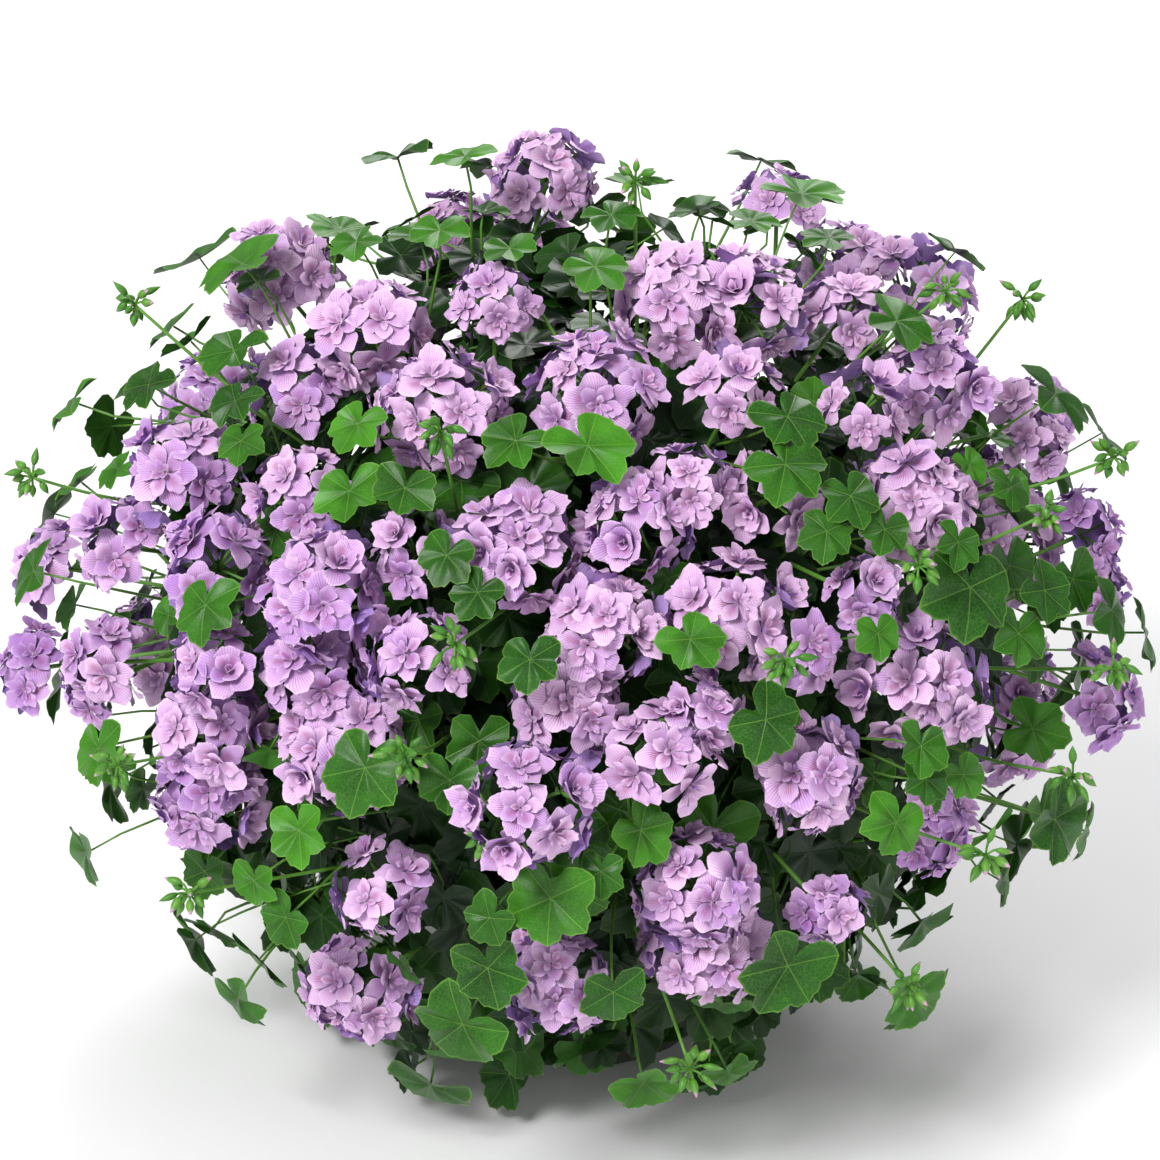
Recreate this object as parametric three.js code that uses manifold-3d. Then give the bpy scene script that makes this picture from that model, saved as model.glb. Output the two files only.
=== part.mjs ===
// A potted ivy-leaved pelargonium with double lilac flowers: a plain pot filled with compost, leafy stems
// that arch over the rim and trail from a close tangle, and flower heads that cover the mound all round.
// Millimetres, +Z up, the front of the plant towards -Y, the origin in the middle of the pot's underside.
import * as THREE from "three";
import { mergeVertices } from "three/addons/utils/BufferGeometryUtils.js";
import Module from "manifold-3d";

const wasm = await Module();
wasm.setup();

// Pot and compost
const POT_HEIGHT = 200;
const POT_FOOT_RADIUS = 84;
const POT_TOP_RADIUS = 112;
const POT_WALL = 3.5;
const POT_FLOOR = 5;
const RIM_OVERHANG = 5;
const RIM_DEPTH = 26;
const POT_SIDES = 24;
const DRAIN_HOLES = 4;
const DRAIN_RADIUS = 6;
const DRAIN_CIRCLE = 58;
const SOIL_TOP = 180;
const SOIL_CROWN = 5;
const GAP = 0.35;
const HOLE_SIDES = 6;
const MERGE = 0.02;

// Stems: each foot stands in its own hole in the compost.
const FEET = 3;
const FOOT_TURNS = Array.from({ length: FEET }, (_, i) => ((i + 0.25) / FEET) * 2 * Math.PI);
const FOOT_CIRCLE = 34;
const FOOT_RADIUS = 5;
const FOOT_DEPTH = 26;
const STALK_RADIUS = 1.5;
const PETIOLE_RADIUS = 1.4;

// The close tangle of stems and shaded leaves in the middle of the plant, which arches over the pot's rim:
// rings from its crown down the outside and up the inside, [distance from the axis, height].
const TANGLE_CROWN = 506;
const TANGLE_OUTSIDE = [[98, 490], [170, 444], [218, 368], [238, 274], [222, 180], [188, 104]];
const TANGLE_INSIDE = [[156, 118], [130, 207], [64, 217]];
const TANGLE_HEART = 212;
const TANGLE_SIDES = 14;
const TANGLE_ROUGHNESS = 8;
const SCALE_HEIGHT = 24;

// The mound of foliage and flowers is an ellipsoid round this centre, with these half sizes.
const MOUND_CENTRE = new THREE.Vector3(0, 0, 290);
const MOUND = new THREE.Vector3(370, 350, 310);
const HEAD_SHELL = 0.9;
const LEAF_SHELLS = [0.97, 0.9, 0.83, 0.76, 0.69, 0.62];
const FLOOR_CLEARANCE = 6;

// The front view that the places below are read in: a picture 1160 pixels wide, taken from this distance
// and height, in which a pixel is this long at the plant's middle.
const PICTURE_MIDDLE = 580;
const MM_PER_PIXEL = 0.64;
const VIEW_DISTANCE = 2400;
const VIEW_ELEVATION = THREE.MathUtils.degToRad(24);
const AIM = new THREE.Vector3(0, 0, 311);

// Flower heads seen from the front, a node for each line. Each head is its place in the picture and its
// width there, in pixels. Heads on one line have grown into each other.
const FRONT_HEADS = [
  [[545, 162, 104]],
  [[782, 197, 90]],
  [[270, 263, 122]],
  [[368, 318, 104]],
  [[294, 367, 94]],
  [[440, 392, 138]],
  [[492, 297, 76]],
  [[600, 376, 128]],
  [[675, 285, 114], [772, 292, 108]],
  [[737, 386, 88]],
  [[846, 306, 84]],
  [[940, 368, 102]],
  [[866, 404, 88]],
  [[1040, 410, 100], [1046, 482, 78]],
  [[925, 493, 112]],
  [[1094, 528, 88], [1104, 600, 84]],
  [[170, 460, 102]],
  [[296, 484, 90]],
  [[112, 528, 92]],
  [[46, 560, 96]],
  [[206, 562, 106]],
  [[310, 574, 120]],
  [[400, 545, 78]],
  [[206, 655, 90]],
  [[514, 542, 114]],
  [[640, 512, 106], [700, 470, 80]],
  [[762, 490, 88]],
  [[606, 612, 104]],
  [[735, 600, 124], [800, 636, 88]],
  [[865, 590, 64]],
  [[935, 675, 138]],
  [[28, 664, 88]],
  [[98, 658, 94], [70, 742, 78]],
  [[306, 665, 106], [336, 746, 128]],
  [[413, 655, 90]],
  [[202, 732, 118], [190, 808, 112]],
  [[565, 702, 106]],
  [[655, 754, 100], [718, 692, 66]],
  [[525, 796, 128]],
  [[820, 778, 108]],
  [[375, 895, 98]],
  [[350, 1000, 110]],
  [[555, 990, 112]],
  [[700, 896, 128], [722, 982, 130]],
  [[832, 915, 72]],
  [[940, 835, 88]],
  [[1106, 694, 96]],
];
// Flower heads of the back, in pairs: [turn round the pot, height on the mound], in degrees.
const BACK_HEADS = [
  [[14, -24], [30, -14]],
  [[62, -22], [78, -10]],
  [[106, -14], [122, -25]],
  [[150, -22], [166, -10]],
  [[4, 12], [22, 16]],
  [[50, 8], [60, 22]],
  [[92, 14], [110, 8]],
  [[138, 10], [150, 24]],
  [[30, 40], [66, 46]],
  [[100, 38], [128, 48]],
];
const BACK_HEAD_WIDTHS = [90, 80];
const HEAD_SPAN = 1.86;
const SMALL_HEAD = 88;
const PAIR_REACHES = [1.15, 1.3, 1.45];

// Leaves seen from the front: place and width in the picture, in pixels.
const FRONT_LEAVES = [
  [465, 158, 58], [510, 250, 48], [611, 217, 56], [440, 232, 60], [357, 243, 54], [595, 268, 60],
  [235, 352, 62], [150, 386, 60], [236, 402, 50], [242, 442, 48], [358, 425, 54], [350, 492, 60],
  [516, 442, 56], [587, 447, 72], [462, 482, 66], [405, 489, 54], [787, 418, 62], [968, 466, 40],
  [1010, 488, 42], [850, 497, 56], [884, 530, 48], [957, 543, 46], [969, 588, 90], [1043, 591, 60],
  [1017, 634, 58], [826, 532, 50], [877, 634, 44], [765, 720, 64], [920, 746, 50], [925, 779, 44],
  [962, 775, 44], [873, 778, 46], [895, 822, 58], [447, 556, 50], [478, 593, 48], [530, 660, 52],
  [528, 738, 42], [712, 829, 82], [552, 898, 80], [488, 967, 68], [490, 917, 46], [579, 842, 60],
  [602, 871, 42], [613, 991, 58], [728, 1071, 50], [287, 917, 50], [255, 880, 44], [300, 830, 56],
  [170, 616, 40], [120, 470, 46], [690, 640, 54], [420, 720, 60], [640, 830, 60], [450, 780, 56],
];
const FILL_LEAVES = 66;
const FILL_LEAF_WIDTH = [38, 56];
const LEAF_SPAN = 1.68;
const GOLDEN_TURN = Math.PI * (3 - Math.sqrt(5));

// Clusters of green buds seen from the front, on stalks that stand out of the mound: place in the picture.
const BUD_CLUSTERS = [
  [135, 305], [33, 478], [190, 893], [118, 765], [635, 182], [945, 292], [1022, 300], [1113, 458],
  [908, 985], [1072, 775], [1112, 668], [985, 855], [690, 1068], [440, 432], [455, 645], [785, 662],
  [405, 756], [490, 838], [1045, 515], [918, 566],
];
const BUD_LENGTH = 18;
const BUD_RADIUS = 3;
const BUD_CORE = 16;
const BUD_SHELLS = [1.02, 0.98, 1.06, 0.93, 1.1, 0.88];

const UP = new THREE.Vector3(0, 0, 1);
const vec = (x, y, z) => new THREE.Vector3(x, y, z);
const mix = THREE.MathUtils.lerp;

// Repeatable random numbers from 0 to 1.
function randomFrom(seed) {
  let state = seed >>> 0;
  return () => {
    state = (state + 0x6d2b79f5) >>> 0;
    let t = Math.imul(state ^ (state >>> 15), 1 | state);
    t = (t + Math.imul(t ^ (t >>> 7), 61 | t)) ^ t;
    return ((t ^ (t >>> 14)) >>> 0) / 4294967296;
  };
}

// A closed body from points and triangles.
function solidOf(points, triangles) {
  const vertProperties = new Float32Array(points.flatMap((p) => [p.x, p.y, p.z]));
  const triVerts = new Uint32Array(triangles.flat());
  return new wasm.Manifold(new wasm.Mesh({ numProp: 3, vertProperties, triVerts }));
}

function solidFromGeometry(geometry) {
  const bare = new THREE.BufferGeometry().setAttribute("position", geometry.getAttribute("position"));
  if (geometry.index) bare.setIndex(geometry.index);
  const merged = mergeVertices(bare, 1e-3);
  return new wasm.Manifold(
    new wasm.Mesh({
      numProp: 3,
      vertProperties: merged.attributes.position.array,
      triVerts: new Uint32Array(merged.index.array),
    }),
  );
}

function meshOf(name, solid, material) {
  const data = solid.getMesh();
  const positions = new Float32Array(data.numVert * 3);
  for (let i = 0; i < data.numVert; i++) {
    positions.set(data.vertProperties.subarray(i * data.numProp, i * data.numProp + 3), i * 3);
  }
  const geometry = new THREE.BufferGeometry();
  geometry.setAttribute("position", new THREE.BufferAttribute(positions, 3));
  geometry.setIndex(new THREE.BufferAttribute(data.triVerts, 1));
  geometry.computeVertexNormals();
  const mesh = new THREE.Mesh(geometry, material);
  mesh.name = name;
  return mesh;
}

const unionOf = (solids) => wasm.Manifold.union(solids);

// A solid with its bounding box, to tell quickly what it cannot touch.
const placed = (solid) => ({ solid, box: solid.boundingBox() });

function near(a, b) {
  return [0, 1, 2].every((i) => a.box.min[i] < b.box.max[i] + GAP && b.box.min[i] < a.box.max[i] + GAP);
}

// True if two solids come closer than the gap.
function tooClose(a, b) {
  return near(a, b) && a.solid.minGap(b.solid, GAP) < GAP - 0.01;
}

// Pot: a plain tapered wall with a rolled rim, a flat floor and drain holes.
function potSolid() {
  const slope = (POT_TOP_RADIUS - POT_FOOT_RADIUS) / POT_HEIGHT;
  const outer = (z) => POT_FOOT_RADIUS + slope * z;
  const rimFoot = POT_HEIGHT - RIM_DEPTH;
  const profile = [
    [0, 0],
    [outer(0), 0],
    [outer(rimFoot), rimFoot],
    [outer(rimFoot) + RIM_OVERHANG, rimFoot + 2],
    [outer(POT_HEIGHT) + RIM_OVERHANG, POT_HEIGHT - 2],
    [outer(POT_HEIGHT) + RIM_OVERHANG - 2, POT_HEIGHT],
    [outer(POT_HEIGHT) - POT_WALL, POT_HEIGHT],
    [outer(POT_FLOOR) - POT_WALL, POT_FLOOR],
    [0, POT_FLOOR],
  ].map(([r, z]) => new THREE.Vector2(r, z));
  const lathe = new THREE.LatheGeometry(profile, POT_SIDES).rotateX(Math.PI / 2);
  const wall = solidFromGeometry(lathe);
  const holes = Array.from({ length: DRAIN_HOLES }, (_, i) => {
    const turn = ((i + 0.5) / DRAIN_HOLES) * 2 * Math.PI;
    const hole = new THREE.CylinderGeometry(DRAIN_RADIUS, DRAIN_RADIUS, 3 * POT_FLOOR, 8);
    hole.rotateX(Math.PI / 2);
    hole.translate(DRAIN_CIRCLE * Math.cos(turn), DRAIN_CIRCLE * Math.sin(turn), POT_FLOOR / 2);
    return solidFromGeometry(hole);
  });
  return wall.subtract(unionOf(holes));
}

// Compost: fills the pot to below the rim, a little higher in the middle, with a hole for each stem's foot.
function soilSolid() {
  const slope = (POT_TOP_RADIUS - POT_FOOT_RADIUS) / POT_HEIGHT;
  const inner = (z) => POT_FOOT_RADIUS + slope * z - POT_WALL - GAP * 1.2;
  const profile = [
    [0, POT_FLOOR + GAP],
    [inner(POT_FLOOR), POT_FLOOR + GAP],
    [inner(SOIL_TOP), SOIL_TOP],
    [inner(SOIL_TOP) * 0.6, SOIL_TOP + SOIL_CROWN * 0.8],
    [0, SOIL_TOP + SOIL_CROWN],
  ].map(([r, z]) => new THREE.Vector2(r, z));
  const fill = solidFromGeometry(new THREE.LatheGeometry(profile, POT_SIDES).rotateX(Math.PI / 2));
  const radius = (FOOT_RADIUS + 1.2 * GAP) / Math.cos(Math.PI / HOLE_SIDES);
  const holes = FOOT_TURNS.map((turn) => {
    const foot = atTurn(turn, FOOT_CIRCLE, SOIL_TOP - FOOT_DEPTH - GAP);
    return tube([foot, foot.clone().setZ(SOIL_TOP + 2 * SOIL_CROWN)], radius, HOLE_SIDES);
  });
  return fill.subtract(unionOf(holes)).simplify(MERGE);
}

function atTurn(turn, radius, z) {
  return vec(radius * Math.cos(turn), radius * Math.sin(turn), z);
}

// A straight round bar between two points, closed at both ends.
function tube([from, to], radius, sides) {
  const bar = new THREE.CylinderGeometry(radius, radius, from.distanceTo(to), sides);
  const heading = to.clone().sub(from).normalize();
  bar.applyQuaternion(new THREE.Quaternion().setFromUnitVectors(vec(0, 1, 0), heading));
  bar.translate(...from.clone().add(to).multiplyScalar(0.5).toArray());
  return solidFromGeometry(bar);
}

// Where the line of sight through a picture point meets the mound's shell at this share of its size, or
// passes closest to it.
function onShell(px, py, share) {
  const ahead = vec(0, Math.cos(VIEW_ELEVATION), -Math.sin(VIEW_ELEVATION));
  const upward = vec(0, Math.sin(VIEW_ELEVATION), Math.cos(VIEW_ELEVATION));
  const eye = AIM.clone().addScaledVector(ahead, -VIEW_DISTANCE);
  const perPixel = MM_PER_PIXEL / VIEW_DISTANCE;
  const sight = ahead
    .clone()
    .addScaledVector(vec(1, 0, 0), (px - PICTURE_MIDDLE) * perPixel)
    .addScaledVector(upward, (PICTURE_MIDDLE - py) * perPixel)
    .normalize();
  const scale = MOUND.clone().multiplyScalar(share);
  const start = eye.clone().sub(MOUND_CENTRE).divide(scale);
  const step = sight.clone().divide(scale);
  const closest = -start.dot(step) / step.lengthSq();
  const miss = start.clone().addScaledVector(step, closest).length();
  const back = miss < 1 ? Math.sqrt((1 - miss * miss) / step.lengthSq()) : 0;
  return { point: eye.addScaledVector(sight, closest - back), sight };
}

// The mound's point in this direction: turn round the pot and height, both in radians.
function onMound(turn, height, share) {
  return vec(
    MOUND.x * Math.cos(turn) * Math.cos(height),
    MOUND.y * Math.sin(turn) * Math.cos(height),
    MOUND.z * Math.sin(height),
  )
    .multiplyScalar(share)
    .add(MOUND_CENTRE);
}

function outwardAt(point) {
  return point.clone().sub(MOUND_CENTRE).divide(MOUND).divide(MOUND).normalize();
}

// A small tapered core with something that grows out of its top and each of its sides, but not out of a side
// that is kept for a bridge. The flat face below is left to the caller, which gets its corners.
const CORE = { topRadius: 0.09, topHeight: 0.12, footRadius: 0.17, footHeight: -0.06 };
const SIDE_TILT = { 3: 72, 4: 70 };

function growOnCore(sides, radius, grow, bridged = false) {
  const points = [];
  const triangles = [];
  const ring = (r, z) =>
    Array.from({ length: sides }, (_, i) => {
      const a = ((i - 0.5) / sides) * 2 * Math.PI;
      return points.push(vec(r * radius * Math.cos(a), r * radius * Math.sin(a), z * radius)) - 1;
    });
  const top = ring(CORE.topRadius, CORE.topHeight);
  const foot = ring(CORE.footRadius, CORE.footHeight);
  const sideNeck = (i) => [foot[i], foot[(i + 1) % sides], top[(i + 1) % sides], top[i]];
  grow(points, triangles, top, UP);
  for (let i = bridged ? 1 : 0; i < sides; i++) {
    const turn = (i / sides) * 2 * Math.PI;
    const tilt = THREE.MathUtils.degToRad(SIDE_TILT[sides]);
    const facing = vec(Math.sin(tilt) * Math.cos(turn), Math.sin(tilt) * Math.sin(turn), Math.cos(tilt));
    grow(points, triangles, sideNeck(i), facing);
  }
  return { points, triangles, foot, open: bridged ? sideNeck(0) : null };
}

// A flower head: double florets all round its core, with a flat face below for the flower stalk.
const FLORET_SPREAD = { 3: 0.54, 4: 0.52 };
const PETALS = 5;
const PETAL_TURN = (2 * Math.PI) / PETALS;

function headShape(sides, radius, random, bridged) {
  const growFloret = (points, triangles, neck, facing) =>
    floret(points, triangles, neck, facing, radius, FLORET_SPREAD[sides], random);
  const shape = growOnCore(sides, radius, growFloret, bridged);
  for (let i = 1; i + 1 < sides; i++) shape.triangles.push([shape.foot[0], shape.foot[i + 1], shape.foot[i]]);
  return shape;
}

// A direction square to the given one, to measure turns from.
function sideOf(facing) {
  return (Math.abs(facing.z) > 0.9 ? vec(1, 0, 0) : UP.clone()).cross(facing).normalize();
}

// One floret widens from its neck, a face of the core, to a notched rim of outer petals. The inner petals
// stand higher, over the notches, round a sunken heart.
function floret(points, triangles, neck, facing, radius, spread, random) {
  const side = sideOf(facing);
  const across = facing.clone().cross(side);
  const size = radius * mix(0.95, 1.02, random());
  const reach = 0.8 * size;
  const phase = random() * PETAL_TURN;
  const addAt = (turn, r, lift) => {
    const p = facing.clone().multiplyScalar(reach + lift * size);
    p.addScaledVector(side, r * size * Math.cos(turn)).addScaledVector(across, r * size * Math.sin(turn));
    return points.push(p) - 1;
  };
  const rim = [];
  const inner = [];
  for (let k = 0; k < PETALS; k++) {
    const turn = phase + k * PETAL_TURN;
    rim.push(addAt(turn, spread * mix(0.78, 0.85, random()), mix(-0.03, 0.01, random())));
    rim.push(addAt(turn + PETAL_TURN / 2, spread * mix(0.95, 1.02, random()), mix(-0.03, 0.07, random())));
    inner.push(addAt(turn, spread * 0.52, mix(0.12, 0.18, random())));
  }
  const heart = addAt(0, 0, -0.02);
  for (let k = 0; k < PETALS; k++) {
    const next = (k + 1) % PETALS;
    triangles.push([inner[k], rim[2 * k], rim[2 * k + 1]]);
    triangles.push([inner[k], rim[2 * k + 1], inner[next]]);
    triangles.push([inner[next], rim[2 * k + 1], rim[2 * next]]);
    triangles.push([heart, inner[k], inner[next]]);
  }
  bridge(points, triangles, neck, rim, facing, side, across);
}

// Joins an inner ring to an outer ring with one band of triangles. Both run the same way round the axis.
function bridge(points, triangles, inner, outer, facing, side, across) {
  const turnOf = (i) => Math.atan2(points[i].dot(across), points[i].dot(side));
  const first = turnOf(inner[0]);
  const offBy = (o) => Math.abs(wrap(turnOf(o) - first));
  const start = outer.indexOf(outer.reduce((best, o) => (offBy(o) < offBy(best) ? o : best)));
  const out = outer.map((_, i) => outer[(start + i) % outer.length]);
  const unwound = (ring) => {
    const turns = [first + wrap(turnOf(ring[0]) - first)];
    for (let i = 1; i <= ring.length; i++) {
      turns.push(turns[i - 1] + wrap(turnOf(ring[i % ring.length]) - turns[i - 1]));
    }
    return turns;
  };
  const innerTurns = unwound(inner);
  const outerTurns = unwound(out);
  let i = 0;
  let o = 0;
  while (i < inner.length || o < out.length) {
    const a = inner[i % inner.length];
    const b = out[o % out.length];
    if (o < out.length && (i === inner.length || outerTurns[o + 1] <= innerTurns[i + 1])) {
      triangles.push([a, out[(o + 1) % out.length], b]);
      o++;
    } else {
      triangles.push([a, inner[(i + 1) % inner.length], b]);
      i++;
    }
  }
}

function wrap(angle) {
  return Math.atan2(Math.sin(angle), Math.cos(angle));
}

// Turns a shape so that its own +Z points along the axis, spun by an angle about it, and moves it.
function setDown(points, origin, axis, spin) {
  const turn = new THREE.Quaternion().setFromUnitVectors(UP, axis);
  turn.multiply(new THREE.Quaternion().setFromAxisAngle(UP, spin));
  return points.map((p) => p.clone().applyQuaternion(turn).add(origin));
}

// Where the heads of one node come to stand when they are moved and shrunk by so much. The second of a pair
// comes near enough to the first for their florets to close up.
function standHeads(heads, shift, sideways, shrink, reach) {
  const stands = heads.map((h) => {
    const radius = h.radius * shrink;
    const middle = h.point.clone().addScaledVector(h.sight, shift);
    middle.addScaledVector(h.across, sideways[0]).addScaledVector(h.upward, sideways[1]);
    middle.z = Math.max(middle.z, FLOOR_CLEARANCE + radius * 0.85);
    return { ...h, radius, middle };
  });
  if (stands.length > 1) {
    const apart = stands[1].middle.clone().sub(stands[0].middle);
    const most = (reach * (stands[0].radius + stands[1].radius)) / 2;
    if (apart.length() > most) stands[1].middle = stands[0].middle.clone().add(apart.setLength(most));
  }
  return stands.map((h) => ({ ...h, hub: h.middle.clone().addScaledVector(h.axis, -0.35 * h.radius) }));
}

// The spin that turns side 0 of a head's core towards a point.
function spinTowards(head, point) {
  const unturn = new THREE.Quaternion().setFromUnitVectors(UP, head.axis).invert();
  const way = point.clone().sub(head.hub).applyQuaternion(unturn);
  return Math.atan2(way.y, way.x);
}

// A head by itself, with the side that is kept for a bridge closed.
function closedHead({ points, triangles, open }) {
  const cap = open ? [[open[0], open[1], open[2]], [open[0], open[2], open[3]]] : [];
  return solidOf(points, [...triangles, ...cap]);
}

// Two heads in one body: their cores are joined by a short bridge below the florets.
function joinPair(a, b) {
  const offset = a.points.length;
  const points = [...a.points, ...b.points];
  const triangles = [...a.triangles, ...b.triangles.map((t) => t.map((i) => i + offset))];
  const here = a.open;
  const there = [b.open[1], b.open[0], b.open[3], b.open[2]].map((i) => i + offset);
  for (let k = 0; k < 4; k++) {
    const next = (k + 1) % 4;
    triangles.push([here[k], here[next], there[next]], [here[k], there[next], there[k]]);
  }
  return solidOf(points, triangles);
}

// What is tried in turn for a head that has no room: its size, and its shift along the line of sight and
// across it.
const SHRINKS = [1, 0.95, 0.9, 0.84, 0.78];
const SHIFTS = [0, 10, -10, 20, -20, 30, -30, 42, 54, 66, 80];
const SIDEWAYS = [[0, 0], [6, 0], [-6, 0], [0, 6], [0, -6]];

// Places the heads of one node, each as near to its place as clears what is already there.
function placeHeads(heads, obstacles, random) {
  const spins = heads.map(() => random() * Math.PI);
  const paired = heads.length > 1;
  const shapes = heads.map((h) => headShape(h.sides, 1, random, paired));
  for (const shrink of SHRINKS) {
    for (const shift of SHIFTS) {
      for (const sideways of SIDEWAYS) {
        for (const reach of paired ? PAIR_REACHES : [0]) {
          const stands = standHeads(heads, shift, sideways, shrink, reach);
          const node = standingNode(stands, shapes, spins);
          if (node && !obstacles.some((o) => tooClose(node, o))) return node;
        }
      }
    }
  }
  return null;
}

// The body of the heads that stand here, or null if the two of a pair come too close.
function standingNode(stands, shapes, spins) {
  const made = stands.map((h, i) => {
    const scaled = shapes[i].points.map((p) => p.clone().multiplyScalar(h.radius));
    const spin = stands.length > 1 ? spinTowards(h, stands[1 - i].hub) : spins[i];
    return { ...h, ...shapes[i], points: setDown(scaled, h.hub, h.axis, spin) };
  });
  const bodies = made.map((m) => placed(closedHead(m)));
  if (made.length === 1) return { ...bodies[0], made };
  return tooClose(...bodies) ? null : { ...placed(joinPair(...made)), made };
}

function headAxis(point) {
  return outwardAt(point).addScaledVector(UP, 0.3).normalize();
}

// A head's stand: where its middle lies, which way it may be shifted, its axis, radius and side florets.
function headAt(point, sight, radius, sides) {
  const across = sight.clone().cross(UP).normalize();
  const upward = across.clone().cross(sight);
  return { point, sight, across, upward, axis: headAxis(point), radius, sides };
}

function frontHead([px, py, width]) {
  const { point, sight } = onShell(px, py, HEAD_SHELL);
  return headAt(point, sight, (width * MM_PER_PIXEL) / HEAD_SPAN, width < SMALL_HEAD ? 3 : 4);
}

function backHead([turn, height], index) {
  const point = onMound(THREE.MathUtils.degToRad(turn), THREE.MathUtils.degToRad(height), HEAD_SHELL);
  return headAt(point, outwardAt(point).negate(), BACK_HEAD_WIDTHS[index] / HEAD_SPAN, 3);
}

// An ivy leaf: five blunt lobes, [degrees from the tip, share of the leaf's length], with a notch at the back
// where the stalk joins.
const LEAF_OUTLINE = [
  [0, 1], [29, 0.8], [55, 0.99], [87, 0.78], [126, 0.9],
  [180, 0.24], [234, 0.9], [273, 0.78], [305, 0.99], [331, 0.8],
];
const LEAF_THICKNESS = 2.4;

// A leaf with its petiole, which runs by the bend to the ring of its root.
function leafShape(centre, normal, tip, size, bend, root, random) {
  const across = normal.clone().cross(tip).normalize();
  const bowl = mix(-0.18, 0.14, random());
  const points = LEAF_OUTLINE.map(([degrees, share]) => {
    const a = THREE.MathUtils.degToRad(degrees);
    const lift = size * (bowl * share * share + mix(-0.05, 0.05, random()));
    return centre
      .clone()
      .addScaledVector(tip, share * size * Math.cos(a))
      .addScaledVector(across, share * size * Math.sin(a))
      .addScaledVector(normal, lift);
  });
  const rimSize = points.length;
  points.push(centre.clone().addScaledVector(normal, LEAF_THICKNESS / 2));
  const joint = centre.clone().addScaledVector(normal, -LEAF_THICKNESS / 2);
  const ring = ringOfThree(points, joint, normal.clone().negate(), tip, PETIOLE_RADIUS);
  const corners = [ring[0], ring[2], ring[1]];
  const triangles = [];
  let corner = 0;
  for (let i = 0; i < rimSize; i++) {
    const next = (i + 1) % rimSize;
    triangles.push([rimSize, i, next]);
    triangles.push([next, i, corners[corner % 3]]);
    if (LEAF_OUTLINE[next][0] >= 50 + 120 * corner) {
      triangles.push([next, corners[corner % 3], corners[(corner + 1) % 3]]);
      corner++;
    }
  }
  return runStalk(points, triangles, ring, bend, root, PETIOLE_RADIUS);
}

// Three points round a middle, anticlockwise about the heading, the first of them towards the start.
function ringOfThree(points, middle, heading, start, radius) {
  const flat = start.clone().addScaledVector(heading, -start.dot(heading)).normalize();
  return [0, 1, 2].map((k) => {
    const round = flat.clone().applyAxisAngle(heading, (k / 3) * 2 * Math.PI);
    return points.push(middle.clone().addScaledVector(round, radius)) - 1;
  });
}

// Runs a stalk of three sides on from a ring, by the bend if there is one, to the ring of its root.
function runStalk(points, triangles, ring, bend, root, radius) {
  let last = ring;
  if (bend) {
    const start = middleOf(ring.map((i) => points[i]));
    const heading = middleOf(root).sub(start).normalize();
    last = ringOfThree(points, bend, heading, points[ring[0]].clone().sub(start), radius);
    band(triangles, ring, last);
  }
  const first = points.length;
  points.push(...root);
  const lengthOf = (turn) => last.reduce((sum, i, k) => sum + points[i].distanceTo(root[(k + turn) % 3]), 0);
  const turn = [0, 1, 2].reduce((best, t) => (lengthOf(t) < lengthOf(best) ? t : best));
  band(triangles, last, [0, 1, 2].map((k) => first + ((k + turn) % 3)));
  return { points, triangles, first };
}

function band(triangles, from, to) {
  for (let k = 0; k < from.length; k++) {
    const next = (k + 1) % from.length;
    triangles.push([from[k], from[next], to[next]], [from[k], to[next], to[k]]);
  }
}

function middleOf(points) {
  return points.reduce((sum, p) => sum.add(p), vec(0, 0, 0)).divideScalar(points.length);
}

// A flower stalk that ends square to the head's axis, just below its foot.
function stalkShape(foot, axis, bend, root) {
  const points = [];
  const ring = ringOfThree(points, foot, axis.clone().negate(), sideOf(axis), STALK_RADIUS);
  return runStalk(points, [[ring[0], ring[2], ring[1]]], ring, bend, root, STALK_RADIUS);
}

// A cluster of green buds on a core, with the stalk that runs on from its foot.
function budShape(centre, axis, bend, root, random) {
  const spin = random() * Math.PI;
  const shape = growOnCore(3, BUD_CORE, (points, triangles, neck, facing) => {
    const side = sideOf(facing);
    const length = BUD_LENGTH * mix(0.75, 1.1, random());
    const waist = facing.clone().multiplyScalar(length * 0.6);
    const belly = ringOfThree(points, waist, facing, side, BUD_RADIUS);
    const apex = points.push(facing.clone().multiplyScalar(length)) - 1;
    bridge(points, triangles, neck, belly, facing, side, facing.clone().cross(side));
    belly.forEach((b, k) => triangles.push([b, belly[(k + 1) % 3], apex]));
  });
  const ring = [shape.foot[0], shape.foot[2], shape.foot[1]];
  const points = setDown(shape.points, centre, axis, spin);
  return runStalk(points, shape.triangles, ring, bend, root, STALK_RADIUS);
}

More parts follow.
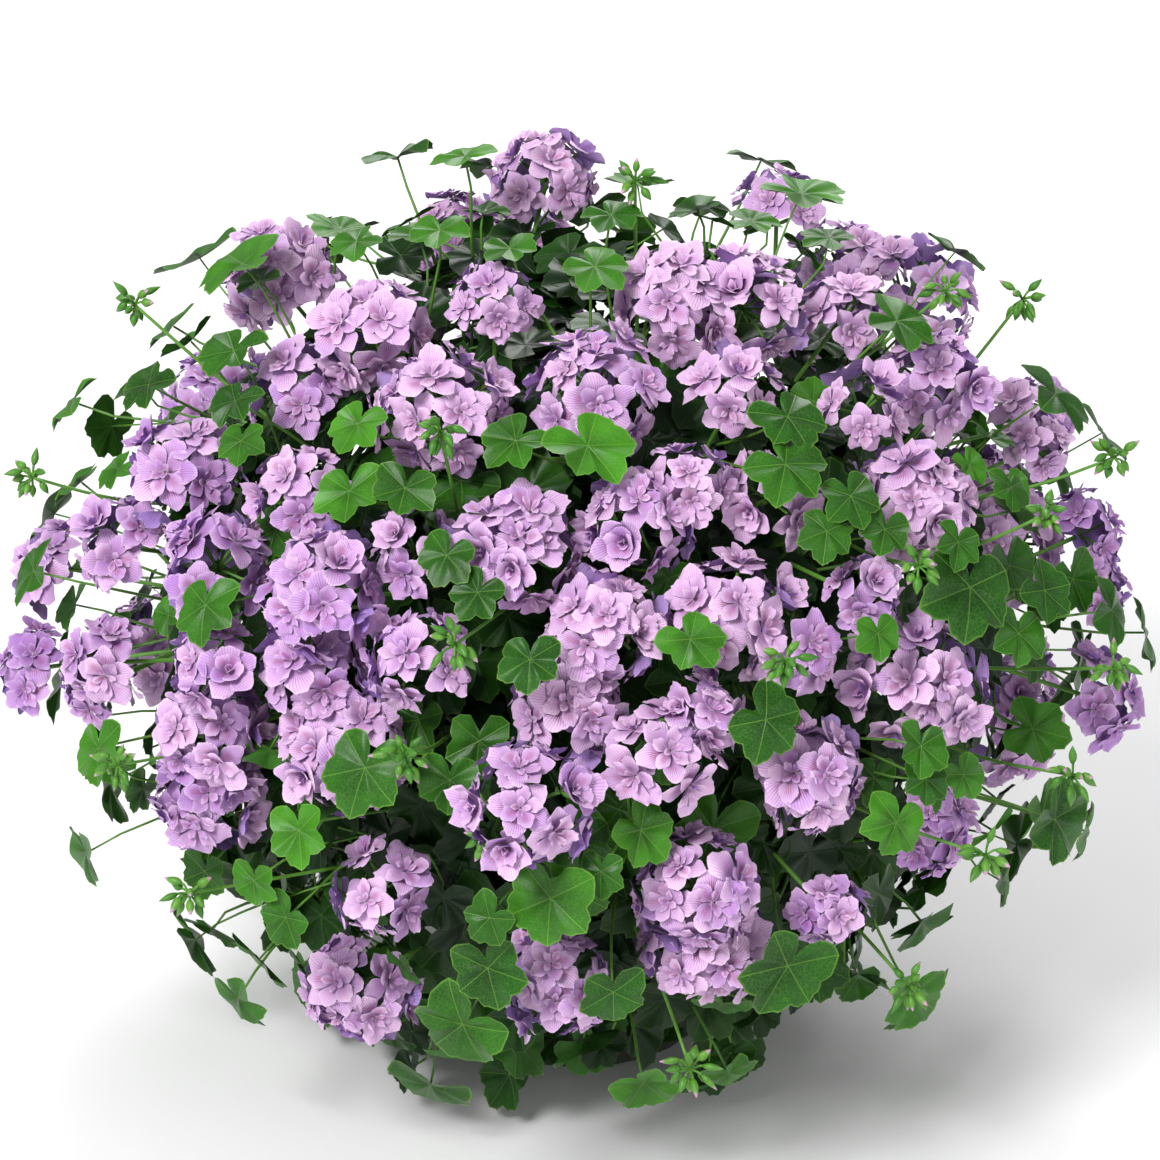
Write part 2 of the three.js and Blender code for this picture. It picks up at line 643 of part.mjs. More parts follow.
// The tangle in the middle of the plant, whose faces the stalks and petioles grow from. Its outside is raised
// in rows of overlapping scales, as close leaves lie.
function growTangle() {
  const random = randomFrom(700);
  const points = [vec(0, 0, TANGLE_CROWN)];
  const rings = [...TANGLE_OUTSIDE, ...TANGLE_INSIDE];
  rings.forEach(([r, z], row) => {
    const rough = row < TANGLE_OUTSIDE.length ? TANGLE_ROUGHNESS : 0;
    for (let i = 0; i < TANGLE_SIDES; i++) {
      const turn = (i / TANGLE_SIDES) * 2 * Math.PI;
      points.push(atTurn(turn, r + rough * mix(-1, 1, random()), z + rough * mix(-1, 1, random())));
    }
  });
  const heart = points.push(vec(0, 0, TANGLE_HEART)) - 1;
  const last = rings.length - 1;
  const at = (row, i) => 1 + row * TANGLE_SIDES + (i % TANGLE_SIDES);
  const faces = [];
  for (let i = 0; i < TANGLE_SIDES; i++) {
    faces.push([0, at(0, i), at(0, i + 1)], [heart, at(last, i + 1), at(last, i)]);
    for (let row = 0; row < last; row++) {
      const cell = [at(row, i), at(row + 1, i), at(row + 1, i + 1), at(row, i + 1)];
      if (row + 1 < TANGLE_OUTSIDE.length) faces.push(...raisedScale(points, cell));
      else faces.push([cell[0], cell[1], cell[3]], [cell[3], cell[1], cell[2]]);
    }
  }
  return { points, faces, wood: placed(solidOf(points, faces)), shoots: [], shootFaces: [] };
}

// Four faces that rise from a cell's edges to a point over its lower half.
function raisedScale(points, [upperLeft, lowerLeft, lowerRight, upperRight]) {
  const upper = points[upperLeft].clone().lerp(points[upperRight], 0.5);
  const lower = points[lowerLeft].clone().lerp(points[lowerRight], 0.5);
  const middle = upper.lerp(lower, 0.65);
  const tip = points.push(middle.addScaledVector(outwardAt(middle), SCALE_HEIGHT)) - 1;
  return [
    [upperLeft, lowerLeft, tip],
    [lowerLeft, lowerRight, tip],
    [lowerRight, upperRight, tip],
    [upperRight, upperLeft, tip],
  ];
}

// The middle of the circle that fits in a face, its radius and the face's normal.
function seatOf(corners) {
  const [a, b, c] = corners;
  const sides = [b.distanceTo(c), c.distanceTo(a), a.distanceTo(b)];
  const round = sides[0] + sides[1] + sides[2];
  const normal = b.clone().sub(a).cross(c.clone().sub(a));
  const middle = vec(0, 0, 0);
  corners.forEach((p, i) => middle.addScaledVector(p, sides[i] / round));
  return { middle, radius: normal.length() / round, normal: normal.normalize() };
}

// A shoot's bends, the gap it keeps from its own plant, how many seats it tries, the least radius of a seat,
// and how far it leans at most: out of its seat and into what it carries.
const BENDS = [0.35, 0.2, 0.5];
const OWN_GAP = 0.15;
const SEATS_TRIED = 16;
const LEAST_SEAT = 0.9;
const SEAT_LEAN = 0.2;
const ARRIVING_LEAN = 0.35;

// Faces of the tangle where a shoot for this target may be rooted, the nearest first.
function seatsFor(stem, target, arriving) {
  const found = [];
  stem.faces.forEach((face, index) => {
    const corners = face.map((i) => stem.points[i]);
    const seat = seatOf(corners);
    const way = target.clone().sub(seat.middle);
    const away = way.length();
    if (seat.radius < LEAST_SEAT || way.dot(seat.normal) < SEAT_LEAN * away) return;
    if (way.dot(arriving) < ARRIVING_LEAN * away) return;
    found.push({ ...seat, index, corners, away, cost: 1.35 * away - 0.35 * way.dot(seat.normal) });
  });
  return found.sort((a, b) => a.cost - b.cost);
}

// Tries seats and bends until the shoot clears the other nodes and the rest of the foliage, then sets it in.
// A bend of null makes a straight stalk.
function growShoot(stem, target, arriving, radius, bends, foreign, shapeOf) {
  for (const share of bends) {
    for (const seat of seatsFor(stem, target, arriving).slice(0, SEATS_TRIED)) {
      const inset = seat.corners.map((c) => {
        const way = c.clone().sub(seat.middle).setLength(Math.min(radius, seat.radius * 0.85));
        return seat.middle.clone().add(way);
      });
      const root = [inset[0], inset[2], inset[1]];
      const curve = new THREE.CubicBezierCurve3(
        target,
        target.clone().addScaledVector(arriving, -seat.away * share),
        seat.middle.clone().addScaledVector(seat.normal, seat.away * 0.25),
        seat.middle,
      );
      const bend = share ? curve.getPoint(0.5) : null;
      const shape = shapeOf(bend, root);
      const whole = placed(closedShoot(shape));
      if (whole.box.min[2] < FLOOR_CLEARANCE || foreign.some((o) => tooClose(whole, o))) continue;
      const cutAt = (part) => {
        const end = root.map((p) => (bend ?? target).clone().lerp(p, part));
        return placed(closedShoot(shapeOf(bend, end)));
      };
      if (cutAt(0.93).solid.minGap(stem.wood.solid, GAP) < OWN_GAP) continue;
      const free = cutAt(0.98);
      const meets = (o) => near(free, o) && free.solid.minGap(o.solid, GAP) < OWN_GAP;
      if (stem.shoots.some(meets)) continue;
      setIn(stem, seat, inset, shape);
      stem.shoots.push(free);
      return true;
    }
  }
  return false;
}

function closedShoot({ points, triangles, first }) {
  return solidOf(points, [...triangles, [first, first + 1, first + 2]]);
}

// Opens a face of the wood round the inset ring and joins the shoot's own triangles to that ring.
function setIn(stem, seat, inset, shape) {
  const { points, faces } = stem;
  const face = faces[seat.index];
  const base = points.length;
  points.push(...inset);
  const around = [];
  band(around, face, [base, base + 1, base + 2]);
  faces.splice(seat.index, 1, ...around);
  const own = points.length;
  points.push(...shape.points.slice(0, shape.first));
  const rooted = [base, base + 2, base + 1];
  const moved = (i) => (i >= shape.first ? rooted[i - shape.first] : own + i);
  stem.shootFaces.push(...shape.triangles.map((t) => t.map(moved)));
}

// A leaf with its petiole, at the first place near the wanted one that is clear.
function growLeaf(stem, wanted, size, foreign, random) {
  const seed = Math.floor(random() * 1e6);
  const twist = mix(-0.7, 0.7, random());
  for (const share of LEAF_SHELLS) {
    for (const turnBy of [0, 0.4, -0.4]) {
      const { point } = wanted(share);
      if (point.z < FLOOR_CLEARANCE + size * 0.5) continue;
      const outward = outwardAt(point).addScaledVector(UP, 0.35);
      outward.applyAxisAngle(UP, turnBy).normalize();
      const down = UP.clone().negate().addScaledVector(outwardAt(point), 0.3);
      const tip = down.addScaledVector(outward, -down.dot(outward)).normalize();
      tip.applyAxisAngle(outward, twist);
      const shapeOf = (bend, root) => leafShape(point, outward, tip, size, bend, root, randomFrom(seed));
      if (growShoot(stem, point, outward, PETIOLE_RADIUS, [null], foreign, shapeOf)) return true;
    }
  }
  return false;
}

// The foot of a stem, from the underside of the tangle into its hole in the compost.
function growFoot(stem, turn) {
  const end = atTurn(turn, FOOT_CIRCLE, SOIL_TOP - FOOT_DEPTH);
  const points = [];
  const ring = ringOfThree(points, end, UP, vec(1, 0, 0), FOOT_RADIUS);
  const above = end.clone().setZ(SOIL_TOP + SOIL_CROWN + 4);
  const level = ringOfThree(points, above, UP, vec(1, 0, 0), FOOT_RADIUS);
  const triangles = [[ring[0], ring[2], ring[1]]];
  band(triangles, ring, level);
  const seat = seatsFor(stem, end, UP.clone().negate())[0];
  const inset = seat.corners.map((c) => c.clone().sub(seat.middle).setLength(FOOT_RADIUS).add(seat.middle));
  const shape = runStalk(points, triangles, level, null, [inset[0], inset[2], inset[1]], FOOT_RADIUS);
  setIn(stem, seat, inset, shape);
}

function buildPlant() {
  const pot = placed(potSolid());
  const soil = placed(soilSolid());
  const stem = growTangle();
  FOOT_TURNS.forEach((turn) => growFoot(stem, turn));
  const heads = [];
  const random = randomFrom(41);
  const frontLines = FRONT_HEADS.map((line) => line.map(frontHead));
  const backLines = BACK_HEADS.map((line) => line.map(backHead));
  for (const line of [...frontLines, ...backLines]) {
    const found = placeHeads(line, [pot, stem.wood, ...heads], random);
    if (!found) throw new Error("no room for a flower head");
    heads.push({ ...found, name: `flower_head_${String(heads.length + 1).padStart(2, "0")}` });
  }
  const foreign = [pot, soil, ...heads];
  for (const head of heads) {
    for (const h of head.made) {
      const foot = h.hub.clone().addScaledVector(h.axis, CORE.footHeight * h.radius - GAP);
      const shapeOf = (bend, root) => stalkShape(foot, h.axis, bend, root);
      const grown = growShoot(stem, foot, h.axis, STALK_RADIUS, [null, ...BENDS], foreign, shapeOf);
      if (!grown) throw new Error(`no room for the stalk of ${head.name}`);
    }
  }
  for (const [px, py] of BUD_CLUSTERS) {
    BUD_SHELLS.some((share) => {
      const { point } = onShell(px, py, share);
      const axis = headAxis(point);
      const shapeOf = (bend, root) => budShape(point, axis, bend, root, randomFrom(px));
      return growShoot(stem, point, axis, STALK_RADIUS, BENDS, foreign, shapeOf);
    });
  }
  for (const [px, py, width] of FRONT_LEAVES) {
    const size = (width * MM_PER_PIXEL) / LEAF_SPAN;
    growLeaf(stem, (share) => onShell(px, py, share), size, foreign, random);
  }
  for (let i = 0; i < FILL_LEAVES; i++) {
    const height = Math.asin(mix(0.94, -0.88, (i + 0.5) / FILL_LEAVES));
    const turn = i * GOLDEN_TURN;
    const size = mix(...FILL_LEAF_WIDTH, random()) / LEAF_SPAN;
    growLeaf(stem, (share) => ({ point: onMound(turn, height, share) }), size, foreign, random);
  }
  return { pot, soil, stem, heads };
}

const look = (color, roughness) => new THREE.MeshStandardMaterial({ color, roughness, metalness: 0 });
const POT_LOOK = look(0x2f3a33, 0.55);
const SOIL_LOOK = look(0x3a2a1e, 0.95);
const LEAF_LOOK = look(0x3f8a26, 0.5);
const PETAL_LOOK = look(0xc49ad8, 0.6);

const { pot, soil, stem, heads } = buildPlant();
const leafyStems = solidOf(stem.points, [...stem.faces, ...stem.shootFaces]);
const plant = new THREE.Group();
plant.add(meshOf("pot", pot.solid, POT_LOOK));
plant.add(meshOf("compost", soil.solid, SOIL_LOOK));
plant.add(meshOf("leafy_stems", leafyStems, LEAF_LOOK));
heads.forEach((head) => plant.add(meshOf(head.name, head.solid, PETAL_LOOK)));

export default plant;
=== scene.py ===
import itertools
import math
from functools import lru_cache

import bpy
import numpy as np
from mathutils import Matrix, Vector


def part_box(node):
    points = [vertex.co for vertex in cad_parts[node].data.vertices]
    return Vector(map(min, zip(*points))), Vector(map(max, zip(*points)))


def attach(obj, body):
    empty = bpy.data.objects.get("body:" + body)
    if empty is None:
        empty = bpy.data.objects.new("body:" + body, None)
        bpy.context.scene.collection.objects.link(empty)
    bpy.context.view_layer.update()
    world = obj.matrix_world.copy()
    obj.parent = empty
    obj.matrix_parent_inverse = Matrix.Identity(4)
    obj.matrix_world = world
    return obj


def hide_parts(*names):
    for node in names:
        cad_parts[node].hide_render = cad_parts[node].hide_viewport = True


bl_info = {
    "name": "Potted ivy-leaved pelargonium",
    "version": (1, 0, 0),
    "blender": (4, 5, 0),
    "location": "View3D > Sidebar > Plant",
    "description": "Builds the flowers, leaves, stems, pot and stage of a potted pelargonium",
    "category": "Add Mesh",
}

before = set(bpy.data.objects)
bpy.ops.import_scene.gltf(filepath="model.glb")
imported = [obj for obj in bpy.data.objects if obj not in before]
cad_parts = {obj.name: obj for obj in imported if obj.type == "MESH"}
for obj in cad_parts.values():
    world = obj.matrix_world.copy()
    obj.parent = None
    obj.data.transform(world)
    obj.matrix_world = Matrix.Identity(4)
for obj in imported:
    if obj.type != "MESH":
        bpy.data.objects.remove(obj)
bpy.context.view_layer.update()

MM = 0.001
WELD = 1e-5
UP = np.array([0.0, 0.0, 1.0])
FRONT = np.array([0.0, -1.0, 0.0])

# The mound of foliage is an ellipsoid round this centre, with these half sizes.
MOUND_CENTRE = np.array([0.0, 0.0, 290.0]) * MM
MOUND = np.array([370.0, 350.0, 310.0]) * MM

# The outline of the close tangle of stems and shaded leaves: distance from the axis, height.
TANGLE = [(4, 506), (98, 490), (170, 444), (218, 368), (238, 274), (222, 180), (188, 104), (158, 110)]
# Shortest and longest leaf, in millimetres: over the tangle, inside it and further out.
CLOSE_LEAVES = (19, 30)
HEART_LEAVES = (30, 42)
OUTER_LEAVES = (16, 26)
# The leaves inside the tangle take this share of its outline and of its radius, this far below it.
HEART_PART = 0.72
HEART_DROP = 55 * MM
# Where the skirt of leaves round the pot hangs, in millimetres: heights, and distances from the axis.
SKIRT_HEIGHTS = (28, 120)
SKIRT_RADII = (126, 185)

# The front view: a picture 1160 pixels wide in which a pixel is this long at the plant's middle.
PICTURE_WIDTH = 1160
PIXEL = 0.64 * MM
VIEW_DISTANCE = 2.4
VIEW_ELEVATION = math.radians(24)
AIM = np.array([0.0, 0.0, 311.0]) * MM
SENSOR = 36.0
# Each lamp's name, place and width. Its power is a setting of the stage.
LAMPS = [("key", (-1.3, -2.2, 2.6), 1.0), ("fill", (2.2, -2.0, 1.3), 1.8), ("rear", (0.4, 2.4, 2.4), 1.6)]

# How the solid flower heads are shaped: a floret's middle and its rim, as shares of the head's radius.
HEART_REACH = 0.78
RIM_SPREAD = 0.53
SIDE_TILT = math.radians(71)
# Florets whose hubs are closer than this share of the radius belong to one head.
SAME_HUB = 0.45
# Where the solid stems' feet are looked for, and how far from a head its stalk's bend is at least.
FEET_WITHIN = 45 * MM
FEET_BELOW = 160 * MM
BEND_FROM_HEAD = 15 * MM

# How florets fill a head: the gap between them in floret radii, how far out they sit as shares of the head's
# radius, how far round from its axis they reach, and how far in a head with a single ring.
FLORET_GAP = 1.5
FLORET_DEPTH = (0.62, 0.82)
HEAD_SIDE = math.radians(98)
SMALL_HEAD_SIDE = math.radians(68)
# The share of florets that are half open, and how much higher their petals stand, in degrees.
HALF_OPEN = 0.12
HALF_OPEN_RISE = 32
# The two materials of a flower head.
PETAL, GREEN = 0, 1

# Half of a leaf's outline: degrees from the tip, share of the leaf's length. The whole has five lobes with
# shoulders beside their tips, and a deep notch at the stalk.
HALF_LEAF = [
    (0, 1.0), (13, 0.9), (18, 0.91), (30, 0.74), (42, 0.88), (47, 0.88), (58, 0.98), (69, 0.88), (75, 0.88),
    (90, 0.72), (103, 0.84), (110, 0.85), (126, 0.92), (142, 0.84), (160, 0.68), (180, 0.2),
]
LOBES = HALF_LEAF + [(360 - degrees, reach) for degrees, reach in HALF_LEAF[-2:0:-1]]
MAIN_VEINS = (0, 58, 126, 234, 302)
# Degrees from the tip of the veins' valleys, and of the ridges halfway between them.
FOLDS = [0, 30, 58, 90, 126, 153, 180, 207, 234, 270, 302, 330, 360]

# Radii of the stalks at their two ends, and of the thinnest and thickest stems, in millimetres.
PEDICEL = (0.7, 1.15)
FLOWER_STALK = (1.5, 1.3)
BUD_STALK = (1.0, 1.3)
BUD_PEDICEL = (0.65, 0.85)
PETIOLE = (0.7, 1.2)
THINNEST_STEM = 1.5
THICKEST_STEM = 4.6
STEM_GROWTH = 0.32
# Between these heights a stem's foot stands upright in the compost.
FOOT_LOW = 156 * MM
FOOT_TOP = 190 * MM

BUDS_EACH = 12
BUD_RADII = (2.2, 3.1)
CRUMBS = 700
CRUMB_SIZES = (1.2, 3.4)
SOIL_CROWN = 5.4 * MM


def unit(v):
    """The vector, or each row of vectors, at length 1."""
    return v / np.maximum(np.linalg.norm(v, axis=-1, keepdims=True), 1e-12)


def side_of(direction):
    """A direction square to the given one."""
    other = np.array([1.0, 0.0, 0.0]) if abs(direction[2]) > 0.9 else UP
    return unit(np.cross(other, direction))


def mix(a, b, share):
    """The value at a share of the way from a to b."""
    return a + (b - a) * share


def smooth(low, high, value):
    """0 below low, 1 above high, and an even rise between them."""
    t = np.clip((value - low) / (high - low), 0, 1)
    return t * t * (3 - 2 * t)


def bezier(a, b, c, d, steps):
    """Points along a cubic curve from a to d."""
    t = np.linspace(0, 1, steps + 1)[:, None]
    return (1 - t) ** 3 * a + 3 * (1 - t) ** 2 * t * b + 3 * (1 - t) * t * t * c + t**3 * d


class Batch:
    """The points and faces of one piece, gathered from its petals, leaves or stalks."""

    def __init__(self):
        self.points, self.faces, self.flats, self.tones = [], [], [], []
        self.count = 0

    def add(self, points, faces, flat, tone, finish=0):
        """flat is each point's place on its petal, leaf or stalk, and tone three values for its colour."""
        self.points.append(points)
        self.faces.append((faces + self.count, finish))
        self.flats.append(flat)
        self.tones.append(np.broadcast_to(np.asarray(tone, float), (len(points), 3)))
        self.count += len(points)

    def make(self, name, finishes):
        """The piece as a smooth mesh object with these materials."""
        points = np.concatenate(self.points).astype(np.float32)
        corners = np.concatenate([f.ravel() for f, _ in self.faces]).astype(np.int32)
        sizes = np.concatenate([np.full(len(f), f.shape[1]) for f, _ in self.faces])
        marks = np.concatenate([np.full(len(f), finish) for f, finish in self.faces])
        mesh = bpy.data.meshes.new(name)
        mesh.vertices.add(len(points))
        mesh.vertices.foreach_set("co", points.ravel())
        mesh.loops.add(len(corners))
        mesh.loops.foreach_set("vertex_index", corners)
        mesh.polygons.add(len(sizes))
        starts = np.concatenate([[0], np.cumsum(sizes)[:-1]]).astype(np.int32)
        mesh.polygons.foreach_set("loop_start", starts)
        mesh.polygons.foreach_set("material_index", marks.astype(np.int32))
        mesh.update(calc_edges=True)
        mesh.shade_smooth()
        flat = mesh.uv_layers.new(name="flat")
        flat.data.foreach_set("uv", np.concatenate(self.flats)[corners].astype(np.float32).ravel())
        tone = mesh.attributes.new("tone", "FLOAT_VECTOR", "POINT")
        tone.data.foreach_set("vector", np.concatenate(self.tones).astype(np.float32).ravel())
        for finish in finishes:
            mesh.materials.append(finish)
        piece = bpy.data.objects.new(name, mesh)
        bpy.context.scene.collection.objects.link(piece)
        return piece


def grid_faces(rows, columns):
    """Four-sided faces of a sheet of points in rows and columns."""
    i, j = np.meshgrid(np.arange(rows - 1), np.arange(columns - 1), indexing="ij")
    first = (i * columns + j).ravel()
    return np.stack([first, first + 1, first + columns + 1, first + columns], 1)


def add_tube(batch, path, radii, sides, tone, finish=0):
    """A round stalk along a path, closed at both ends."""
    count = len(path)
    along = unit(np.gradient(path, axis=0))
    bend = np.cross(along[0], along[-1])
    square = unit(bend) if np.linalg.norm(bend) > 0.05 else side_of(unit(path[-1] - path[0]))
    across = unit(np.cross(along, square))
    rise = np.cross(along, across)
    turn = np.arange(sides) / sides * 2 * math.pi
    radii = np.broadcast_to(radii, (count,))[:, None, None]
    rings = path[:, None] + radii * (
        np.cos(turn)[None, :, None] * across[:, None] + np.sin(turn)[None, :, None] * rise[:, None]
    )
    points = np.concatenate([rings.reshape(-1, 3), path[:1], path[-1:]])
    k = np.arange(sides)
    row = np.stack([k, k + sides, (k + 1) % sides + sides, (k + 1) % sides], 1)
    quads = np.concatenate([row + i * sides for i in range(count - 1)])
    last = (count - 1) * sides
    caps = np.concatenate([
        np.stack([np.full(sides, count * sides), k, (k + 1) % sides], 1),
        np.stack([np.full(sides, count * sides + 1), last + (k + 1) % sides, last + k], 1),
    ])
    flat = np.zeros((len(points), 2))
    flat[:, 1] = np.append(np.repeat(np.linspace(0, 1, count), sides), [0, 1])
    start = batch.count
    batch.add(points, quads, flat, tone, finish)
    batch.faces.append((caps + start, finish))


# Reading the layout from the solids

def welded(node):
    """The node's corner points and its triangles, with split corners joined."""
    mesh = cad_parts[node].data
    places = np.empty(len(mesh.vertices) * 3, np.float32)
    mesh.vertices.foreach_get("co", places)
    corners = np.empty(len(mesh.loops), np.int32)
    mesh.loops.foreach_get("vertex_index", corners)
    rounded = np.round(places.reshape(-1, 3) / WELD).astype(np.int64)
    keys, index = np.unique(rounded, axis=0, return_inverse=True)
    return keys * WELD, index.reshape(-1)[corners].reshape(-1, 3)


def around_each(triangles, count):
    """The points that each point shares an edge with."""
    around = [set() for _ in range(count)]
    for a, b, c in triangles.tolist():
        around[a] |= {b, c}
        around[b] |= {a, c}
        around[c] |= {a, b}
    return around


def florets_of(points, around):
    """Each solid floret as its heart, the way it faces and its spread."""
    found = []
    for heart, ring in enumerate(around):
        rim = set().union(*(around[i] for i in ring)) - ring - {heart}
        if len(ring) != 5 or len(rim) != 10:
            continue
        arms = points[sorted(ring)] - points[heart]
        reach = np.linalg.norm(arms, axis=1)
        if reach.max() > 1.25 * reach.min():
            continue
        facing = unit(arms.mean(0))
        spokes = points[sorted(rim)] - points[heart]
        flat = spokes - np.outer(spokes @ facing, facing)
        found.append((points[heart], facing, np.linalg.norm(flat, axis=1).max()))
    return found


def heads_of(node):
    """The flower heads of a node: the hub where its florets meet, its axis and its radius."""
    points, triangles = welded(node)
    groups = []
    for heart, facing, spread in florets_of(points, around_each(triangles, len(points))):
        radius = spread / RIM_SPREAD
        hub = heart - facing * HEART_REACH * radius
        group = next((g for g in groups if np.linalg.norm(g[0][0] - hub) < SAME_HUB * radius), None)
        if group is None:
            group = []
            groups.append(group)
        group.append((hub, facing, radius))
    heads = []
    for group in groups:
        facings = np.array([g[1] for g in group])
        angles = np.arccos(np.clip(facings @ facings.T, -1, 1))
        off = np.abs(angles - SIDE_TILT).sum(1) - SIDE_TILT
        hub = np.mean([g[0] for g in group], 0)
        heads.append({"hub": hub, "axis": facings[off.argmin()], "radius": np.mean([g[2] for g in group])})
    return heads


def next_ring(around, ring, before):
    """The three points that a stalk of three sides runs to from a ring."""
    beyond = set().union(*(around[i] for i in ring)) - set(ring) - set(before)
    return sorted(beyond)


def leaves_of(points, triangles, around):
    """Each solid leaf: its middle, normal, tip direction, length, bowl and where its stalk is rooted."""
    normals = {}
    corners = points[triangles]
    squares = np.cross(corners[:, 1] - corners[:, 0], corners[:, 2] - corners[:, 0])
    for face, square in zip(triangles.tolist(), squares):
        for i in face:
            normals[i] = normals.get(i, 0) + square
    found = []
    for middle, rim in enumerate(around):
        if len(rim) != 10:
            continue
        rim = sorted(rim)
        arms = points[rim] - points[middle]
        reach = np.linalg.norm(arms, axis=1)
        order = reach.argsort()
        if reach[order[0]] > 0.45 * reach[order[1]] or reach[order[1]] < 0.65 * reach[order[-1]]:
            continue
        ring = next_ring(around, rim, [middle])
        if len(ring) != 3:
            continue
        normal = unit(normals[middle])
        size = np.sort(reach)[-3:].mean()
        way = -arms[order[0]]
        tip = unit(way - (way @ normal) * normal)
        bowl = np.median((arms @ normal)[order[1:]]) / (size * 0.8)
        root = points[next_ring(around, ring, rim)].mean(0)
        found.append({
            "middle": points[middle], "normal": normal, "tip": tip, "size": size,
            "bowl": float(np.clip(bowl, -0.2, 0.2)), "root": root,
        })
    return found


def buds_of(points, around):
    """Each solid bud cluster: its hub, the way its buds point and its stalk's bend and root."""
    clusters = {}
    for apex, belly in enumerate(around):
        if len(belly) != 3:
            continue
        neck = set().union(*(around[i] for i in belly)) - belly - {apex}
        key = next((k for k in clusters if k & neck), frozenset())
        apexes, bellies = clusters.pop(key, ([], set()))
        clusters[frozenset(key | neck)] = (apexes + [apex], bellies | belly)
    found = []
    for core, (apexes, bellies) in clusters.items():
        hub = points[sorted(core)].mean(0)
        bend = next_ring(around, core, bellies)
        root = next_ring(around, bend, core)
        found.append({
            "hub": hub, "ways": points[apexes] - hub,
            "bend": points[bend].mean(0), "root": points[root].mean(0),
        })
    return found


@lru_cache(maxsize=1)
def plant():
    """Where the heads, leaves, bud clusters, flower stalks and feet stand, as the solids have them."""
    names = sorted(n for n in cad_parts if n.startswith("flower_head"))
    heads = {name: heads_of(name) for name in names}
    points, triangles = welded("leafy_stems")
    around = around_each(triangles, len(points))
    stalks = []
    for head in (h for group in heads.values() for h in group):
        foot = head["hub"] - head["axis"] * 0.07 * head["radius"]
        ring = np.linalg.norm(points - foot, axis=1).argsort()[:3].tolist()
        first = next_ring(around, ring, [])
        second = next_ring(around, first, ring)
        path = [foot, points[first].mean(0)]
        if len(second) == 3 and np.linalg.norm(points[second].mean(0) - path[-1]) > BEND_FROM_HEAD:
            path.append(points[second].mean(0))
        stalks.append(path)
    low = points[(np.hypot(points[:, 0], points[:, 1]) < FEET_WITHIN) & (points[:, 2] < FEET_BELOW)]
    sector = np.round(np.arctan2(low[:, 1], low[:, 0]) / (2 * math.pi / 3) - 0.25).astype(int) % 3
    feet = [low[sector == i].mean(0) for i in range(3) if (sector == i).any()]
    leaves = leaves_of(points, triangles, around)
    return {"heads": heads, "leaves": leaves, "buds": buds_of(points, around), "stalks": stalks, "feet": feet}


# Petals and flower heads

def petal_shape(batch, rng, frames, whorl, tones, finish):
    """Adds one petal for each row of frames: origin, side, across, facing, turn and length."""
    origin, side, across, facing, turn, length = frames
    rows, columns = whorl["grid"]
    count = len(turn)
    v = np.repeat(np.linspace(0, 1, rows), columns)[None]
    u = np.tile(np.linspace(-1, 1, columns), rows)[None]

    def spread(low, high):
        return rng.uniform(low, high, (count, 1))

    length = length[:, None] * whorl["length"] * spread(0.9, 1.08)
    width = length * whorl["width"] * spread(0.88, 1.12)
    rise = np.radians(whorl["rise"]) + np.radians(spread(-11, 11))
    curl = np.radians(whorl["curl"]) + np.radians(spread(-22, 22))
    notch = np.maximum(spread(-0.05, 0.11), 0)
    girth = 0.13 + 0.87 * np.sin(math.pi / 2 * np.minimum(v / 0.68, 1)) ** 1.25
    girth = girth * (1 - 0.2 * smooth(0.72, 1.0, v))
    x = width * u * girth
    frill = spread(0.0, 0.05) * np.cos(u * spread(5, 9) + spread(0, 6.3))
    s = length * (v - 0.3 * v**3 * u**2 - notch * v**4 * np.exp(-((u / 0.3) ** 2)) + frill * v**4)
    angle = rise - curl * v * 0.5
    r = 0.05 * length + s * np.cos(angle)
    z = s * np.sin(angle)
    z += width * spread(0.05, 0.4) * (u * girth) ** 2 * whorl["cup"]
    wave = np.sin(u * spread(2.2, 4.2) + v * spread(1, 4) + spread(0, 6.3))
    z += length * spread(0.02, 0.07) * wave * v**1.5
    z -= length * spread(0.0, 0.3) * smooth(0.6, 1.0, v) * (v - 0.6)
    twist = spread(-0.3, 0.3)
    z += x * twist * v
    a = turn[:, None] + spread(-0.16, 0.16)
    px = r * np.cos(a) - x * np.sin(a)
    py = r * np.sin(a) + x * np.cos(a)
    points = (
        origin[:, None]
        + px[..., None] * side[:, None]
        + py[..., None] * across[:, None]
        + z[..., None] * facing[:, None]
    )
    faces = grid_faces(rows, columns)[:, ::-1]
    flat = np.stack([u[0] * 0.5 + 0.5, v[0]], 1)
    size = rows * columns
    every = (faces[None] + np.arange(count)[:, None, None] * size).reshape(-1, 4)
    tone = np.repeat(tones, size, axis=0)
    batch.add(points.reshape(-1, 3), every, np.tile(flat, (count, 1)), tone, finish)


# The rings of petals in a floret, from the outside in, and its sepals: rows and columns of each petal's
# points, how many there are, their length and half width as shares of the floret's radius and of that
# length, how far they rise from the floret's face and curl inwards in degrees, and how cupped they are.
WHORLS = [
    {"grid": (7, 7), "petals": 5, "length": 1.0, "width": 0.38, "rise": 8, "curl": 4, "cup": 0.6},
    {"grid": (6, 6), "petals": 5, "length": 0.76, "width": 0.34, "rise": 32, "curl": 22, "cup": 0.9},
    {"grid": (5, 4), "petals": 4, "length": 0.46, "width": 0.25, "rise": 60, "curl": 30, "cup": 1.2},
]
SEPALS = {"grid": (4, 3), "petals": 5, "length": 0.36, "width": 0.2, "rise": 24, "curl": -20, "cup": 0.5}


